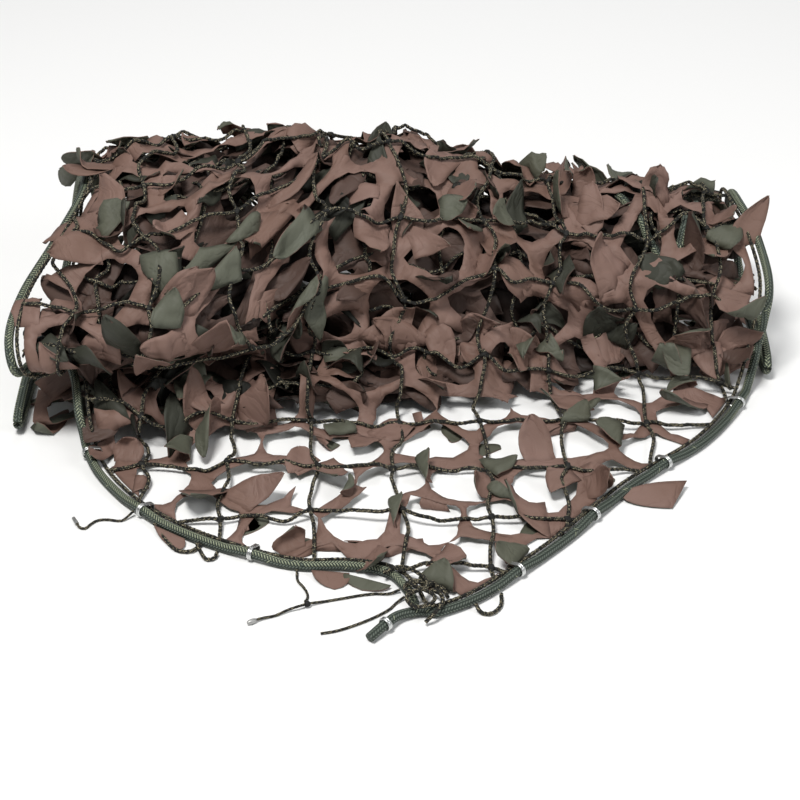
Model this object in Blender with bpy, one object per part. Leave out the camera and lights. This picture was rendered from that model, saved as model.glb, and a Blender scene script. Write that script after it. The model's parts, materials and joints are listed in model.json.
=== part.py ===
# Camouflage net, heaped on a floor with one corner spread out in front.
#
# The whole net is one sheet.  It is worked out flat, in sheet coordinates (u, v):
# u runs across and v runs along the sheet from its front corner.  "layFlatSheet"
# turns a table of folds into a grid of points in space, and every soft piece is
# drawn in (u, v) and carried onto that grid.
#
# Metres, +Z up.  The open corner lies towards -Y.  The floor is z = 0.

import bisect
import math
import random

import bmesh
import bpy
import numpy as np
from mathutils import Matrix, Vector
from mathutils.geometry import delaunay_2d_cdt

for old in list(bpy.data.objects):
    bpy.data.objects.remove(old, do_unlink=True)


# ---------------------------------------------------------------- sizes

MILLIMETRE = 0.001
SHIFT_Y = 0.1206           # moves the fold table so that the part is centred on the origin

SHEET_HALF = 0.375         # half width of the sheet, to the middle of its rope
SHEET_END = 1.50           # length of the sheet, to the middle of the rope at its far hem
DATUM_Y = -0.200           # where v = 0 lies in the fold table

CLOTH_THICK = 0.0020
CLOTH_INSET = 0.0150       # from the middle of the rope to the edge of the cloth
GAP_PITCH_U = 0.076        # leaf cuts: staggered rows of openings
GAP_PITCH_V = 0.064
GAP_LENGTH = 0.056
GAP_WIDTH = 0.044
GAP_CORNERS = 8
GAP_CORNERS_INSIDE = 6     # openings of the layers inside the heap
GAP_BEND = 1.22            # radians: a tighter fold than this keeps its cloth whole
GAP_MARGIN = 0.012         # least cloth between an opening and the edge
FOLD_GRID_U = 0.012        # spacing of the points that carry the tight folds of the cloth
FOLD_GRID_V = 0.008
FOLD_COLUMN = 3            # elsewhere only every third column
FOLD_ROW = 4               # and every fourth row of them is used
FOLD_TURN = 0.24           # radians between neighbours that make a fold tight
FOLD_TURN_INSIDE = 0.42    # and in the layers inside the heap
CORD_EASE = 0.0020         # how much more a net cord lifts off for each radian the cloth turns away
EASE_FREE = 0.35           # a turn up to this many radians needs none

MESH_PITCH = 0.080         # support net
CORD_WIDE = 0.0030
CORD_LOW = 0.0044          # bottom and top of a net cord above the middle of the cloth
CORD_HIGH = 0.0070
BORDER_INSET = 0.0096      # from the middle of the rope to the middle of the border cord
CORD_STEP = 0.054          # longest straight step of a net cord
CORD_TURN = 0.40           # radians that the cloth may turn under one such step
CORD_LEAST = 0.009         # shortest step
CORD_SAG = 0.0005          # how far a straight step may lie beside its line

ROPE_RADIUS = 0.0050
ROPE_STEP = 0.024
ROPE_LIFT = 0.0028         # how far the rope rides up where a clip passes under it

RING_SEAT = 5              # millimetres of straight rope each way from the middle of a ring
CLIP_WALL = 0.0012
CLIP_LENGTH = 0.0042
CLIP_GAP = 0.0005
CLIP_EYE = 0.0036          # half height of the clip's loop round the border cord
CLIP_SPARE = 0.0014        # slack of that loop beyond the border cord

TAIL_RADIUS = 0.0013
FLOOR_GAP = 0.0002

# Folds, in millimetres.  One row for each section across the heap.  "foot" is where the open layer
# ends, "lip" the top of the lower front, "pleat" how far the cloth goes back under
# the upper lobe, "nose" the front of that lobe, then "brow", "crest" and "back".
FOLD_COLUMNS = ("u", "footY", "lipY", "lipZ", "pleatY", "pleatGap", "noseY", "noseZ",
                "browY", "browZ", "crestY", "crestZ", "backY", "backZ", "layerGap")
FOLDS = (
    (-390, 80, 90, 42, 168, 28, 92, 92, 125, 114, 240, 122, 415, 80, 26),
    (-300, 86, 95, 45, 178, 30, 88, 106, 128, 156, 255, 200, 428, 115, 27),
    (-200, 98, 106, 45, 183, 30, 106, 106, 145, 162, 265, 216, 435, 125, 27),
    (-110, 122, 130, 44, 195, 30, 160, 102, 190, 142, 285, 214, 440, 125, 28),
    (-30, 138, 148, 40, 190, 16, 202, 102, 232, 136, 310, 206, 442, 120, 34),
    (60, 156, 170, 36, 194, 10, 214, 98, 245, 120, 330, 196, 442, 115, 34),
    (150, 176, 190, 34, 204, 10, 221, 93, 250, 122, 320, 160, 438, 95, 32),
    (270, 198, 214, 36, 221, 10, 228, 98, 258, 130, 325, 152, 432, 90, 32),
    (390, 182, 200, 34, 212, 10, 222, 88, 256, 118, 320, 142, 420, 80, 30),
)

LAYER_FRONT = 0.030        # how far behind the foot the inner layers turn
LAYER_BACK = 0.030         # how far in front of the back the inner layers turn
LAYER_STEP = 0.026         # how much each pair of inner layers is shorter

# Unevenness of the surface: height, length of the wave along u and v, its slant and start.
WAVES = (
    (0.0052, 0.230, 0.260, 0.45, 0.3),
    (0.0036, 0.160, 0.220, -0.70, 1.9),
    (0.0022, 0.120, 0.160, 0.90, 4.1),
)
WAVE_BEND = 0.8            # how much the waves snake
OPEN_WAVE = 0.50           # share of the waves that the open layer has
PLEAT_WAVE = 0.15          # and the cloth inside the pleat
INNER_WAVE = 0.35          # and the folded layers inside the heap
BACK_HEIGHT = 0.050        # the support net ends where the back comes down to this height

# Rope legs on the floor, from the front corner: across, and depth in the fold table.
LEFT_LEG = ((0.013, -0.166), (0.005, -0.142), (-0.012, -0.119), (-0.049, -0.110), (-0.089, -0.110),
            (-0.132, -0.096), (-0.192, -0.064), (-0.238, -0.028), (-0.274, 0.017), (-0.298, 0.062))
RIGHT_LEG = ((0.013, -0.166), (0.026, -0.179), (0.057, -0.165), (0.089, -0.138), (0.146, -0.076),
             (0.179, -0.034), (0.217, 0.014), (0.255, 0.052), (0.292, 0.088), (0.322, 0.130))
# Where each leg goes on into the heap: across, and length along the sheet.
LEFT_CLIMB = ((-0.310, 0.310), (-0.322, 0.370), (-0.352, 0.440), (-0.372, 0.510), (-0.366, 0.580),
              (-0.340, 0.650), (-0.320, 0.720), (-0.324, 0.790), (-0.350, 0.870), (-0.375, 0.960))
RIGHT_CLIMB = ((0.346, 0.376), (0.362, 0.430), (0.371, 0.490), (0.364, 0.555), (0.352, 0.620),
               (0.354, 0.700), (0.368, 0.770), (0.375, 0.840))
HEM_CORNER = 0.045         # radius of the rope at the corners of the far hem

# The rope's free end at the front corner: x, y in the fold table, height of its middle.
ROPE_END = ((-0.026, -0.214, 0.0054), (-0.012, -0.198, 0.0082), (0.000, -0.184, 0.0068))

# Ring clips on the two legs, by their place across.
LEFT_CLIPS = (-0.132, -0.238, -0.2992)
RIGHT_CLIPS = (0.107, 0.179, 0.255, 0.338)

# Loose tails of net cord, in millimetres: x, y in the fold table, and height off the floor.
# The first point only shows which side of the rope the tail leaves from.
TAIL_ROUTES = {
    "tail_left": (
        (-251, -31, 0), (-256, -35, 0), (-263, -35.5, 0), (-270, -34, 0),
        (-279, -35, 0), (-285, -41, 0), (-289, -48, 0), (-294.5, -47, 0.3),
        (-297.5, -42, 0.8)),
    "tail_long": (
        (-2, -145, 0), (-10, -147, 0), (-22, -147, 0), (-34, -149, 0), (-48, -153, 0),
        (-66, -158, 0), (-78, -163, 1.8), (-88, -168.5, 2.8), (-98, -172, 1.2),
        (-108, -178, 0), (-118, -182, 0.6), (-124, -185.5, 1.2)),
    "tail_drop": (
        (-92.5, -118, 0), (-91, -127, 0), (-86, -136, 0), (-82, -145, 0),
        (-81, -153, 0), (-83, -159.5, 1)),
    "tail_front": (
        (-2, -156, 0), (-3, -160, 0), (-9, -169, 0), (-20, -179, 0), (-33, -188, 0),
        (-45, -195, 0), (-56, -200, 0), (-68, -203, 0)),
}
TAIL_STEP = 0.0072
TAIL_START = 0.0005        # gap between the rope and the end of a tail that leaves it
PIECE_GAP = 0.0004
KNOT_SIZE = 1.45           # inner width of the knot on the long tail, against the cord
TAIL_TIPS = {"tail_left": ("crimp_tip", 0.0100, 0.0020), "tail_long": ("bead_tip", 0.0085, 0.0024)}


# ---------------------------------------------------------------- the folded sheet

def tableAt(u):
    """One row of the fold table at any place across, as a dictionary."""
    rows = [[value * MILLIMETRE for value in row] for row in FOLDS]
    places = [row[0] for row in rows]
    u = min(max(u, places[0]), places[-1])
    i = min(max(bisect.bisect_right(places, u) - 1, 0), len(rows) - 2)
    before, first, second, after = rows[max(i - 1, 0)], rows[i], rows[i + 1], rows[min(i + 2, len(rows) - 1)]
    span = second[0] - first[0]
    t = (u - first[0]) / span
    row = {}
    for k, name in enumerate(FOLD_COLUMNS):
        slopeA = (second[k] - before[k]) / (second[0] - before[0]) * span
        slopeB = (after[k] - first[k]) / (after[0] - first[0]) * span
        row[name] = ((2 * t ** 3 - 3 * t ** 2 + 1) * first[k] + (t ** 3 - 2 * t ** 2 + t) * slopeA
                     + (3 * t ** 2 - 2 * t ** 3) * second[k] + (t ** 3 - t ** 2) * slopeB)
    return row


def foldSection(u):
    """Corner points (y, z) of the folded sheet's section, from the front to the far hem."""
    f = tableAt(u)
    floor = CLOTH_THICK / 2
    front = f["footY"] + LAYER_FRONT
    back = f["backY"] - LAYER_BACK
    points = [
        (DATUM_Y, floor),
        ((DATUM_Y + f["footY"]) / 2, floor),
        (f["footY"] - 0.030, floor),
        (f["footY"], floor + 0.002),
        (f["lipY"], f["lipZ"]),
        (f["pleatY"], f["lipZ"] + 0.006),
        (f["pleatY"], f["lipZ"] + 0.006 + f["pleatGap"]),
        (f["noseY"], f["noseZ"] - 0.022),
        (f["noseY"], f["noseZ"] + 0.012),
        (f["browY"], f["browZ"]),
        (f["crestY"], f["crestZ"]),
        (f["backY"] - 0.030, f["crestZ"] * 0.90),
        (f["backY"] + 0.008, f["backZ"]),
        (f["backY"], floor),
        (f["backY"] - 0.040, floor),
        (front, floor),
    ]
    height = floor
    for layer in range(2):
        inward = LAYER_STEP * layer
        points += [
            (front + inward, height + f["layerGap"]),
            (back - inward, height + f["layerGap"]),
            (back - inward, height + 2 * f["layerGap"]),
            (front + inward + LAYER_STEP, height + 2 * f["layerGap"]),
        ]
        height += 2 * f["layerGap"]
    return points


def roundedSection(points):
    """The same line with its corners rounded, as many short steps (a quadratic B-spline)."""
    corners = np.array(points)
    middles = (corners[:-1] + corners[1:]) / 2
    steps = np.linspace(0.0, 1.0, CORNER_STEPS)[:, None]
    pieces = [corners[:1]]
    for i in range(1, len(corners) - 1):
        a, b, c = middles[i - 1], corners[i], middles[i]
        pieces.append((1 - steps) ** 2 * a + 2 * steps * (1 - steps) * b + steps ** 2 * c)
    pieces.append(corners[-1:])
    return np.vstack(pieces)


CORNER_STEPS = 24           # points round each corner of a section
HIDDEN_CORNER = 15         # the section's corner from which on it is hidden
GRID_U = np.linspace(-0.39, 0.39, 105)
GRID_V = np.arange(0.0, SHEET_END + 0.021, 0.004)


def waveHeight(u, v):
    """Uneven height of the cloth."""
    total = np.zeros_like(u)
    for height, lengthU, lengthV, slant, start in WAVES:
        phase = 2 * math.pi * (u + slant * v) / lengthU + start
        total += height * np.sin(phase + WAVE_BEND * np.sin(2 * math.pi * (v - slant * u) / lengthV))
    return total


def between(values, low, high):
    """0 below low, 1 above high, and smooth in between."""
    t = np.clip((values - low) / (high - low), 0.0, 1.0)
    return t * t * (3 - 2 * t)


def layFlatSheet():
    """Points and outward normals of the sheet's middle on the (u, v) grid, with no waves yet.

    Also gives, for each u, how far along the sheet its foot, pleat, nose and back lie.
    The hidden layers are eased along so that each of their turns lies straight across."""
    points = np.zeros((len(GRID_U), len(GRID_V), 3))
    marks = {name: np.zeros((len(GRID_U), 1)) for name in ("foot", "lip", "nose", "back", "depth")}
    lines = []
    cornerPlaces = np.zeros((len(GRID_U), len(foldSection(0.0)) - 1 - HIDDEN_CORNER))
    for i, u in enumerate(GRID_U):
        corners = foldSection(u)
        line = roundedSection(corners)
        length = np.concatenate(([0.0], np.cumsum(np.hypot(*np.diff(line, axis=0).T))))
        lines.append((line, length))
        for name, corner in (("foot", 3), ("lip", 4), ("nose", 8)):
            apart = np.hypot(line[:, 0] - corners[corner][0], line[:, 1] - corners[corner][1])
            marks[name][i] = length[int(np.argmin(apart))]
        after = np.nonzero((length > marks["nose"][i]) & (line[:, 1] < BACK_HEIGHT))[0]
        marks["back"][i] = length[after[0]]
        marks["depth"][i] = corners[5][0] - corners[8][0]
        cornerPlaces[i] = length[CORNER_STEPS * np.arange(HIDDEN_CORNER, len(corners) - 1)]
    apart = np.diff(cornerPlaces, axis=1).mean(axis=0)
    level = cornerPlaces[:, 0].max() + np.concatenate(([0.0], np.cumsum(apart)))
    for i, (line, length) in enumerate(lines):
        back = marks["back"][i, 0]
        places = np.interp(GRID_V, np.concatenate(([0.0, back], level, [level[-1] + 0.5])),
                           np.concatenate(([0.0, back], cornerPlaces[i], [cornerPlaces[i, -1] + 0.5])))
        points[i, :, 0] = GRID_U[i]
        points[i, :, 1] = np.interp(places, length, line[:, 0]) - SHIFT_Y
        points[i, :, 2] = np.interp(places, length, line[:, 1])
    return points, normalsOf(points), marks


def normalsOf(points):
    normals = np.cross(np.gradient(points, GRID_U, axis=0), np.gradient(points, GRID_V, axis=1))
    return normals / np.linalg.norm(normals, axis=2, keepdims=True)


def fromRope():
    """How far each grid point is from the rope's line, in the sheet."""
    u, v = np.meshgrid(GRID_U, GRID_V, indexing="ij")
    apart = np.full(u.shape, 1.0)
    for place in ROPE_LINE[::3]:
        apart = np.minimum(apart, np.hypot(u - place.x, v - place.y))
    return apart


def addWaves(points, normals, marks):
    """Make the sheet uneven: only upwards where it lies open, less where layers are close."""
    u, v = np.meshgrid(GRID_U, GRID_V, indexing="ij")
    wave = waveHeight(u, v)
    tallest = sum(row[0] for row in WAVES)
    opened = OPEN_WAVE * np.maximum(wave + 0.75 * tallest, 0.0)
    rise = between(v, marks["foot"], marks["foot"] + 0.08)
    wave = (1 - rise) * opened + rise * wave
    inPleat = between(v, marks["lip"] - 0.01, marks["lip"] + 0.03)
    inPleat *= 1 - between(v, marks["nose"] - 0.05, marks["nose"])
    wave *= 1 - (1 - PLEAT_WAVE) * inPleat * between(marks["depth"], -0.02, 0.03)
    folded = between(v, marks["back"] - 0.05, marks["back"])
    wave *= 1 - (1 - INNER_WAVE * between(points[:, :, 2], 0.008, 0.026)) * folded
    wave *= between(fromRope(), 0.004, 0.060)
    return points + normals * wave[:, :, None]


def onSheet(u, v, offset=0.0):
    """The place in space of sheet point (u, v), lifted off the cloth's middle by offset."""
    fu = (u - GRID_U[0]) / (GRID_U[1] - GRID_U[0])
    fv = (v - GRID_V[0]) / (GRID_V[1] - GRID_V[0])
    i = min(max(int(fu), 0), len(GRID_U) - 2)
    j = min(max(int(fv), 0), len(GRID_V) - 2)
    a, b = fu - i, fv - j
    out = []
    for field in (SHEET_POINTS, SHEET_NORMALS):
        out.append((1 - a) * (1 - b) * field[i, j] + a * (1 - b) * field[i + 1, j]
                   + (1 - a) * b * field[i, j + 1] + a * b * field[i + 1, j + 1])
    normal = Vector(out[1]).normalized()
    return Vector(out[0]) + normal * offset


# ---------------------------------------------------------------- outlines in the sheet

def smoothLine(points, step):
    """Points every step along a smooth curve through the given ones."""
    fixed = [Vector(p) for p in points]
    padded = [2 * fixed[0] - fixed[1]] + fixed + [2 * fixed[-1] - fixed[-2]]
    dense = []
    for i in range(1, len(padded) - 2):
        p0, p1, p2, p3 = padded[i - 1:i + 3]
        for k in range(16):
            t = k / 16
            dense.append(0.5 * (2 * p1 + (p2 - p0) * t + (2 * p0 - 5 * p1 + 4 * p2 - p3) * t * t
                                + (3 * p1 - p0 - 3 * p2 + p3) * t ** 3))
    dense.append(fixed[-1])
    return evenly(dense, step)


def evenly(line, step):
    """The same line with points an even step apart."""
    lengths = [0.0]
    for a, b in zip(line, line[1:]):
        lengths.append(lengths[-1] + (b - a).length)
    count = max(2, round(lengths[-1] / step))
    out = []
    for k in range(count + 1):
        target = lengths[-1] * k / count
        i = min(bisect.bisect_right(lengths, target) - 1, len(line) - 2)
        span = max(lengths[i + 1] - lengths[i], 1e-9)
        out.append(line[i].lerp(line[i + 1], min(max((target - lengths[i]) / span, 0), 1)))
    return out


def legPoints(leg, climb):
    """One side of the rope in sheet coordinates: its leg on the floor, then into the heap."""
    return [(x, y - DATUM_Y) for x, y in leg] + list(climb)


def ropeLine():
    """The rope's middle in sheet coordinates, once round the sheet from its front corner."""
    right = smoothLine(legPoints(RIGHT_LEG, RIGHT_CLIMB), 0.006)
    left = smoothLine(legPoints(LEFT_LEG, LEFT_CLIMB), 0.006)
    hem = []
    for turn in range(7):
        angle = math.radians(15 * turn)
        hem.append(Vector((SHEET_HALF - HEM_CORNER * (1 - math.cos(angle)),
                           SHEET_END - HEM_CORNER * (1 - math.sin(angle)))))
    hem += [Vector((-p.x, p.y)) for p in reversed(hem)]
    return evenly(right + hem + left[::-1], 0.006)


def turnsNear(points, outwardOnly):
    """For every grid point, how far the cloth turns over the width of an opening, both ways.

    With outwardOnly, only where it turns away from its outer side."""
    normals = normalsOf(points)
    total = np.zeros(normals.shape[:2])
    for axis, grid in ((0, GRID_U), (1, GRID_V)):
        reach = round(GAP_WIDTH / 2 / (grid[1] - grid[0]))
        turn = np.diff(normals, axis=axis)
        turns = np.linalg.norm(turn, axis=2)
        if outwardOnly:
            turns *= (turn * np.diff(points, axis=axis)).sum(axis=2) > 0
        padding = [(0, 0), (0, 0)]
        padding[axis] = (reach, reach + 1)
        sums = np.cumsum(np.pad(turns, padding), axis=axis)
        first = np.take(sums, range(0, normals.shape[axis]), axis=axis)
        last = np.take(sums, range(2 * reach, normals.shape[axis] + 2 * reach), axis=axis)
        total += last - first
    return total


ROPE_LINE = ropeLine()
FLAT_POINTS, SHEET_NORMALS, MARKS = layFlatSheet()
SHEET_POINTS = addWaves(FLAT_POINTS, SHEET_NORMALS, MARKS)
BENDS = turnsNear(SHEET_POINTS, False)
EASES = CORD_EASE * np.maximum(2 * turnsNear(SHEET_POINTS, True) - BENDS - EASE_FREE, 0.0)
EASES *= between(fromRope(), 0.012, 0.040)
TURNED = normalsOf(SHEET_POINTS)


def insetLine(distance, step):
    """The closed rope line moved inwards by a distance, with points a step apart."""
    count = len(ROPE_LINE) - 1
    moved = []
    for i in range(count):
        ahead = ROPE_LINE[(i + 3) % count] - ROPE_LINE[(i - 3) % count]
        inward = Vector((-ahead.y, ahead.x)).normalized()
        place = ROPE_LINE[i] + inward * distance
        if all((place - other).length > distance * 0.97 for other in ROPE_LINE[::2]):
            moved.append(place)
    return evenly(moved + moved[:1], step)[:-1]


def inside(point, outline):
    """Whether a sheet point lies inside a closed outline."""
    within = False
    for a, b in zip(outline, outline[1:] + outline[:1]):
        if (a.y > point.y) != (b.y > point.y):
            if point.x < a.x + (point.y - a.y) / (b.y - a.y) * (b.x - a.x):
                within = not within
    return within


def distanceTo(point, outline):
    """Least distance from a sheet point to the corners of an outline."""
    return min((point - corner).length for corner in outline)


# ---------------------------------------------------------------- solids

def material(name, colour, roughness, metallic=0.0):
    made = bpy.data.materials.new(name)
    made.use_nodes = True
    shader = made.node_tree.nodes["Principled BSDF"]
    shader.inputs["Base Color"].default_value = (*colour, 1.0)
    shader.inputs["Roughness"].default_value = roughness
    shader.inputs["Metallic"].default_value = metallic
    made.diffuse_color = (*colour, 1.0)
    return made


def addObject(name, vertices, faces, finish):
    mesh = bpy.data.meshes.new(name)
    mesh.from_pydata([tuple(v) for v in vertices], [], faces)
    mesh.materials.append(finish)
    mesh.update()
    made = bpy.data.objects.new(name, mesh)
    bpy.context.collection.objects.link(made)
    return made


def addSlab(name, flat, triangles, low, high, eased, finish):
    """A closed solid: flat triangles carried onto the sheet, from offset low to offset high.

    If eased, it stands off further where the sheet turns away from it."""
    used = sorted({k for triangle in triangles for k in triangle})
    index = {k: n for n, k in enumerate(used)}
    eases = [nearGrid(EASES, flat[k].x, flat[k].y) if eased else 0.0 for k in used]
    bottom = [onSheet(flat[k].x, flat[k].y, low + e) for k, e in zip(used, eases)]
    top = [onSheet(flat[k].x, flat[k].y, high + e) for k, e in zip(used, eases)]
    count = len(used)
    faces = []
    edges = set()
    for triangle in triangles:
        a, b, c = (index[k] for k in triangle)
        if (flat[used[b]] - flat[used[a]]).cross(flat[used[c]] - flat[used[a]]) < 0:
            b, c = c, b
        faces.append((a + count, b + count, c + count))
        faces.append((c, b, a))
        edges.update(((a, b), (b, c), (c, a)))
    for a, b in sorted(edges):
        if (b, a) not in edges:
            faces.append((a, b, b + count, a + count))
    return addObject(name, bottom + top, faces, finish)


def fillFlat(outlines, extra):
    """Triangles over outlines in the sheet; gives points, triangles and their outlines."""
    points, faces = [], []
    for outline in outlines:
        faces.append(list(range(len(points), len(points) + len(outline))))
        points += outline
    points += extra
    result = delaunay_2d_cdt(points, [], faces, 1, 1e-6, True)
    return result[0], result[2], result[5]


# ---------------------------------------------------------------- the pieces

def nearGrid(field, u, v):
    """The value at (u, v) of a field that is given on the grid."""
    return float(field[int(np.argmin(abs(GRID_U - u))), int(np.argmin(abs(GRID_V - v)))])


def isHidden(place):
    return place.y > np.interp(place.x, GRID_U, MARKS["back"][:, 0])


def turnedBy(place, acrossU, acrossV):
    """How far the cloth turns between two places on opposite sides of this one."""
    a, b = [TURNED[int(np.argmin(abs(GRID_U - place.x - side * acrossU))),
                   int(np.argmin(abs(GRID_V - place.y - side * acrossV)))] for side in (-1, 1)]
    return math.acos(min(1.0, float(a @ b)))


def leafGaps(outline, draw):
    """Openings of the leaf cuts: staggered, uneven, each a rounded outline."""
    gaps = []
    rows = int(SHEET_END / GAP_PITCH_V) + 1
    across = int(2 * SHEET_HALF / GAP_PITCH_U) + 2
    for row in range(rows):
        for column in range(across):
            u = (column - across / 2 + 0.5 * (row % 2)) * GAP_PITCH_U + draw.uniform(-0.005, 0.005)
            v = (row + 0.5) * GAP_PITCH_V + draw.uniform(-0.005, 0.005)
            long = GAP_LENGTH / 2 * draw.uniform(0.86, 1.08)
            wide = GAP_WIDTH / 2 * draw.uniform(0.86, 1.08)
            turn = Matrix.Rotation(draw.uniform(-0.35, 0.35), 2)
            centre = Vector((u, v))
            number = GAP_CORNERS_INSIDE if isHidden(centre) else GAP_CORNERS
            corners = []
            for k in range(number):
                angle = 2 * math.pi * (k + 0.5) / number
                corner = Vector((long * math.cos(angle), wide * math.sin(angle)))
                corner.rotate(turn)
                corners.append(centre + corner)
            if not all(inside(place, outline) for place in corners + [centre]):
                continue
            if min(distanceTo(place, outline) for place in corners) < GAP_MARGIN:
                continue
            if nearGrid(BENDS, u, v) < GAP_BEND:
                gaps.append(corners)
    return gaps


def makeCloth(finish):
    fine = insetLine(CLOTH_INSET, 0.002)
    outline = fine[::4]
    gaps = leafGaps(outline, random.Random(11))
    extra = []
    for i in range(int(2 * SHEET_HALF / FOLD_GRID_U) + 1):
        for j in range(int(SHEET_END / FOLD_GRID_V) + 1):
            place = Vector((i * FOLD_GRID_U - SHEET_HALF, j * FOLD_GRID_V))
            limit = FOLD_TURN_INSIDE if isHidden(place) else FOLD_TURN
            if i % FOLD_COLUMN and turnedBy(place, FOLD_GRID_U, 0) < limit:
                continue
            if j % FOLD_ROW and turnedBy(place, 0, FOLD_GRID_V) < limit:
                continue
            if not inside(place, outline) or distanceTo(place, outline) < 0.010:
                continue
            if any(inside(place, gap) or distanceTo(place, gap) < 0.012 for gap in gaps):
                continue
            extra.append(place)
    flat, triangles, owners = fillFlat([closer(fine)] + gaps, extra)
    kept = [t for t, owner in zip(triangles, owners) if list(owner) == [0]]
    half = CLOTH_THICK / 2
    return addSlab("garnish_cloth", flat, kept, -half, half, False, finish), len(gaps)


def closer(line):
    """A finely stepped line with longer steps, as long as the sheet under them allows."""
    def facing(place):
        return TURNED[int(np.argmin(abs(GRID_U - place.x))), int(np.argmin(abs(GRID_V - place.y)))]
    kept = [0]
    for k in range(1, len(line)):
        start, place = line[kept[-1]], line[k]
        step = (place - start).length
        aside = line[(kept[-1] + k) // 2] - start
        turn = math.acos(min(1.0, float(facing(start) @ facing(place))))
        bent = turn > CORD_TURN or abs(aside.cross((place - start).normalized())) > CORD_SAG
        if step >= CORD_STEP or (bent and step >= CORD_LEAST):
            kept.append(k)
    if (line[-1] - line[kept[-1]]).length < CORD_LEAST:
        kept.pop()
    return [line[k] for k in kept] + [line[-1]]


def unbroken(line):
    """The runs of a finely stepped line that has breaks in it, without the shortest."""
    found = []
    begin = 0
    for k in range(1, len(line) + 1):
        if k == len(line) or (line[k] - line[k - 1]).length > 0.003:
            if k - begin > 25:
                found.append(line[begin:k])
            begin = k
    return found


def strip(line):
    """A closed outline of a cord that runs along a line in the sheet."""
    left, right = [], []
    for i, place in enumerate(line):
        ahead = line[min(i + 1, len(line) - 1)] - line[max(i - 1, 0)]
        aside = Vector((-ahead.y, ahead.x)).normalized() * CORD_WIDE / 2
        left.append(place + aside)
        right.append(place - aside)
    return left + right[::-1]


def netLines():
    """Middle lines of the support net's cords, in the sheet: border, last row, mesh."""
    back = MARKS["back"][:, 0]
    border = insetLine(BORDER_INSET, 0.002)
    outer = [p for p in border if p.y < np.interp(p.x, GRID_U, back)]
    start = max(range(len(outer)), key=lambda k: (outer[k] - outer[k - 1]).length)
    outer = outer[start:] + outer[:start]
    places = [u for u in GRID_U if abs(u) < SHEET_HALF - BORDER_INSET - 0.02]
    last = [Vector((u, float(np.interp(u, GRID_U, back)))) for u in places]
    if (last[0] - outer[-1]).length > (last[-1] - outer[-1]).length:
        last = last[::-1]
    lines = [closer(outer), closer(evenly([outer[-1]] + last + [outer[0]], 0.002))]
    field = outer[::8] + last
    count = int(SHEET_HALF / MESH_PITCH)
    fine = np.arange(-SHEET_HALF, SHEET_END, 0.001)
    mesh = [[Vector((column * MESH_PITCH, v)) for v in fine] for column in range(-count, count + 1)]
    mesh += [[Vector((u, row * MESH_PITCH)) for u in fine if u < SHEET_HALF]
             for row in range(1, int(SHEET_END / MESH_PITCH))]
    for line in mesh:
        for run in unbroken([p for p in line if inside(p, field)]):
            lines.append(closer(run))
    return lines


def makeSupportNet(finish):
    lines = netLines()
    flat, triangles, owners = fillFlat([strip(line) for line in lines], [])
    starts = np.array([a[:] for line in lines for a in line[:-1]])
    spans = np.array([(b - a)[:] for line in lines for a, b in zip(line, line[1:])])
    lengths = (spans ** 2).sum(axis=1)
    kept = []
    for triangle, owner in zip(triangles, owners):
        centre = np.array(sum((flat[k] for k in triangle), Vector((0, 0))) / 3)
        share = np.clip(((centre - starts) * spans).sum(axis=1) / lengths, 0, 1)
        apart = np.hypot(*(centre - starts - spans * share[:, None]).T)
        if owner and apart.min() < CORD_WIDE * 0.56:
            kept.append(triangle)
    return addSlab("support_net", flat, kept, CORD_LOW, CORD_HIGH, True, finish)


def clipPlaces():
    """Places of the clips along the rope line."""
    places = []
    for spots, right in ((LEFT_CLIPS, False), (RIGHT_CLIPS, True)):
        for spot in spots:
            near = [i for i, p in enumerate(ROPE_LINE)
                    if p.y < 0.42 and (i < len(ROPE_LINE) / 2) == right]
            places.append(min(near, key=lambda i: abs(ROPE_LINE[i].x - spot)))
    return sorted(places)


def ropeMiddle():
    """The rope's middle in space, point for point with ROPE_LINE."""
    clips = [ROPE_LINE[i] for i in clipPlaces()]
    middle = []
    for place in ROPE_LINE:
        point = onSheet(place.x, place.y)
        near = min((place - clip).length for clip in clips)
        lift = ROPE_LIFT * max(0.0, 1 - (near / 0.030) ** 2) ** 2
        point.z = max(point.z, ROPE_RADIUS + lift)
        middle.append(point)
    return middle


def addTube(name, points, radius, sides, finish):
    """A round cord along points, as a curve with a filled bevel."""
    curve = bpy.data.curves.new(name, "CURVE")
    curve.dimensions = "3D"
    curve.bevel_depth = radius
    curve.bevel_resolution = (sides - 4) // 2
    curve.use_fill_caps = True
    spline = curve.splines.new("POLY")
    spline.points.add(len(points) - 1)
    for target, point in zip(spline.points, points):
        target.co = (*point, 1.0)
    curve.materials.append(finish)
    made = bpy.data.objects.new(name, curve)
    bpy.context.collection.objects.link(made)
    return made


def ropePath():
    """The points of the rope as it is built, from its free end once round the sheet.

    Also gives the middle and direction of the short straight step under each ring."""
    middle = ropeMiddle()
    end = [Vector((x, y - SHIFT_Y, z)) for x, y, z in ROPE_END]
    tail = smoothLine(end + [middle[2], middle[4], middle[6]], 0.004)
    last = next(i for i in range(len(middle) - 1, 0, -1)
                if min((middle[i] - p).length for p in tail) > 2 * ROPE_RADIUS + 0.0012)
    fine = evenly(tail[:-1] + middle[6:last + 1], 0.001)
    rings = []
    for spot in [end[1]] + [middle[i] for i in clipPlaces()]:
        rings.append(min(range(len(fine)), key=lambda k: (fine[k] - spot).length))
    path = []
    begin = 0
    for ring in sorted(rings):
        path += evenly(fine[begin:ring - RING_SEAT + 1], ROPE_STEP)
        begin = ring + RING_SEAT
    path += evenly(fine[begin:], ROPE_STEP)
    seats = [(fine[k - RING_SEAT], fine[k + RING_SEAT]) for k in rings]
    return path, [((a + b) / 2, (b - a).normalized()) for a, b in seats]


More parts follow.
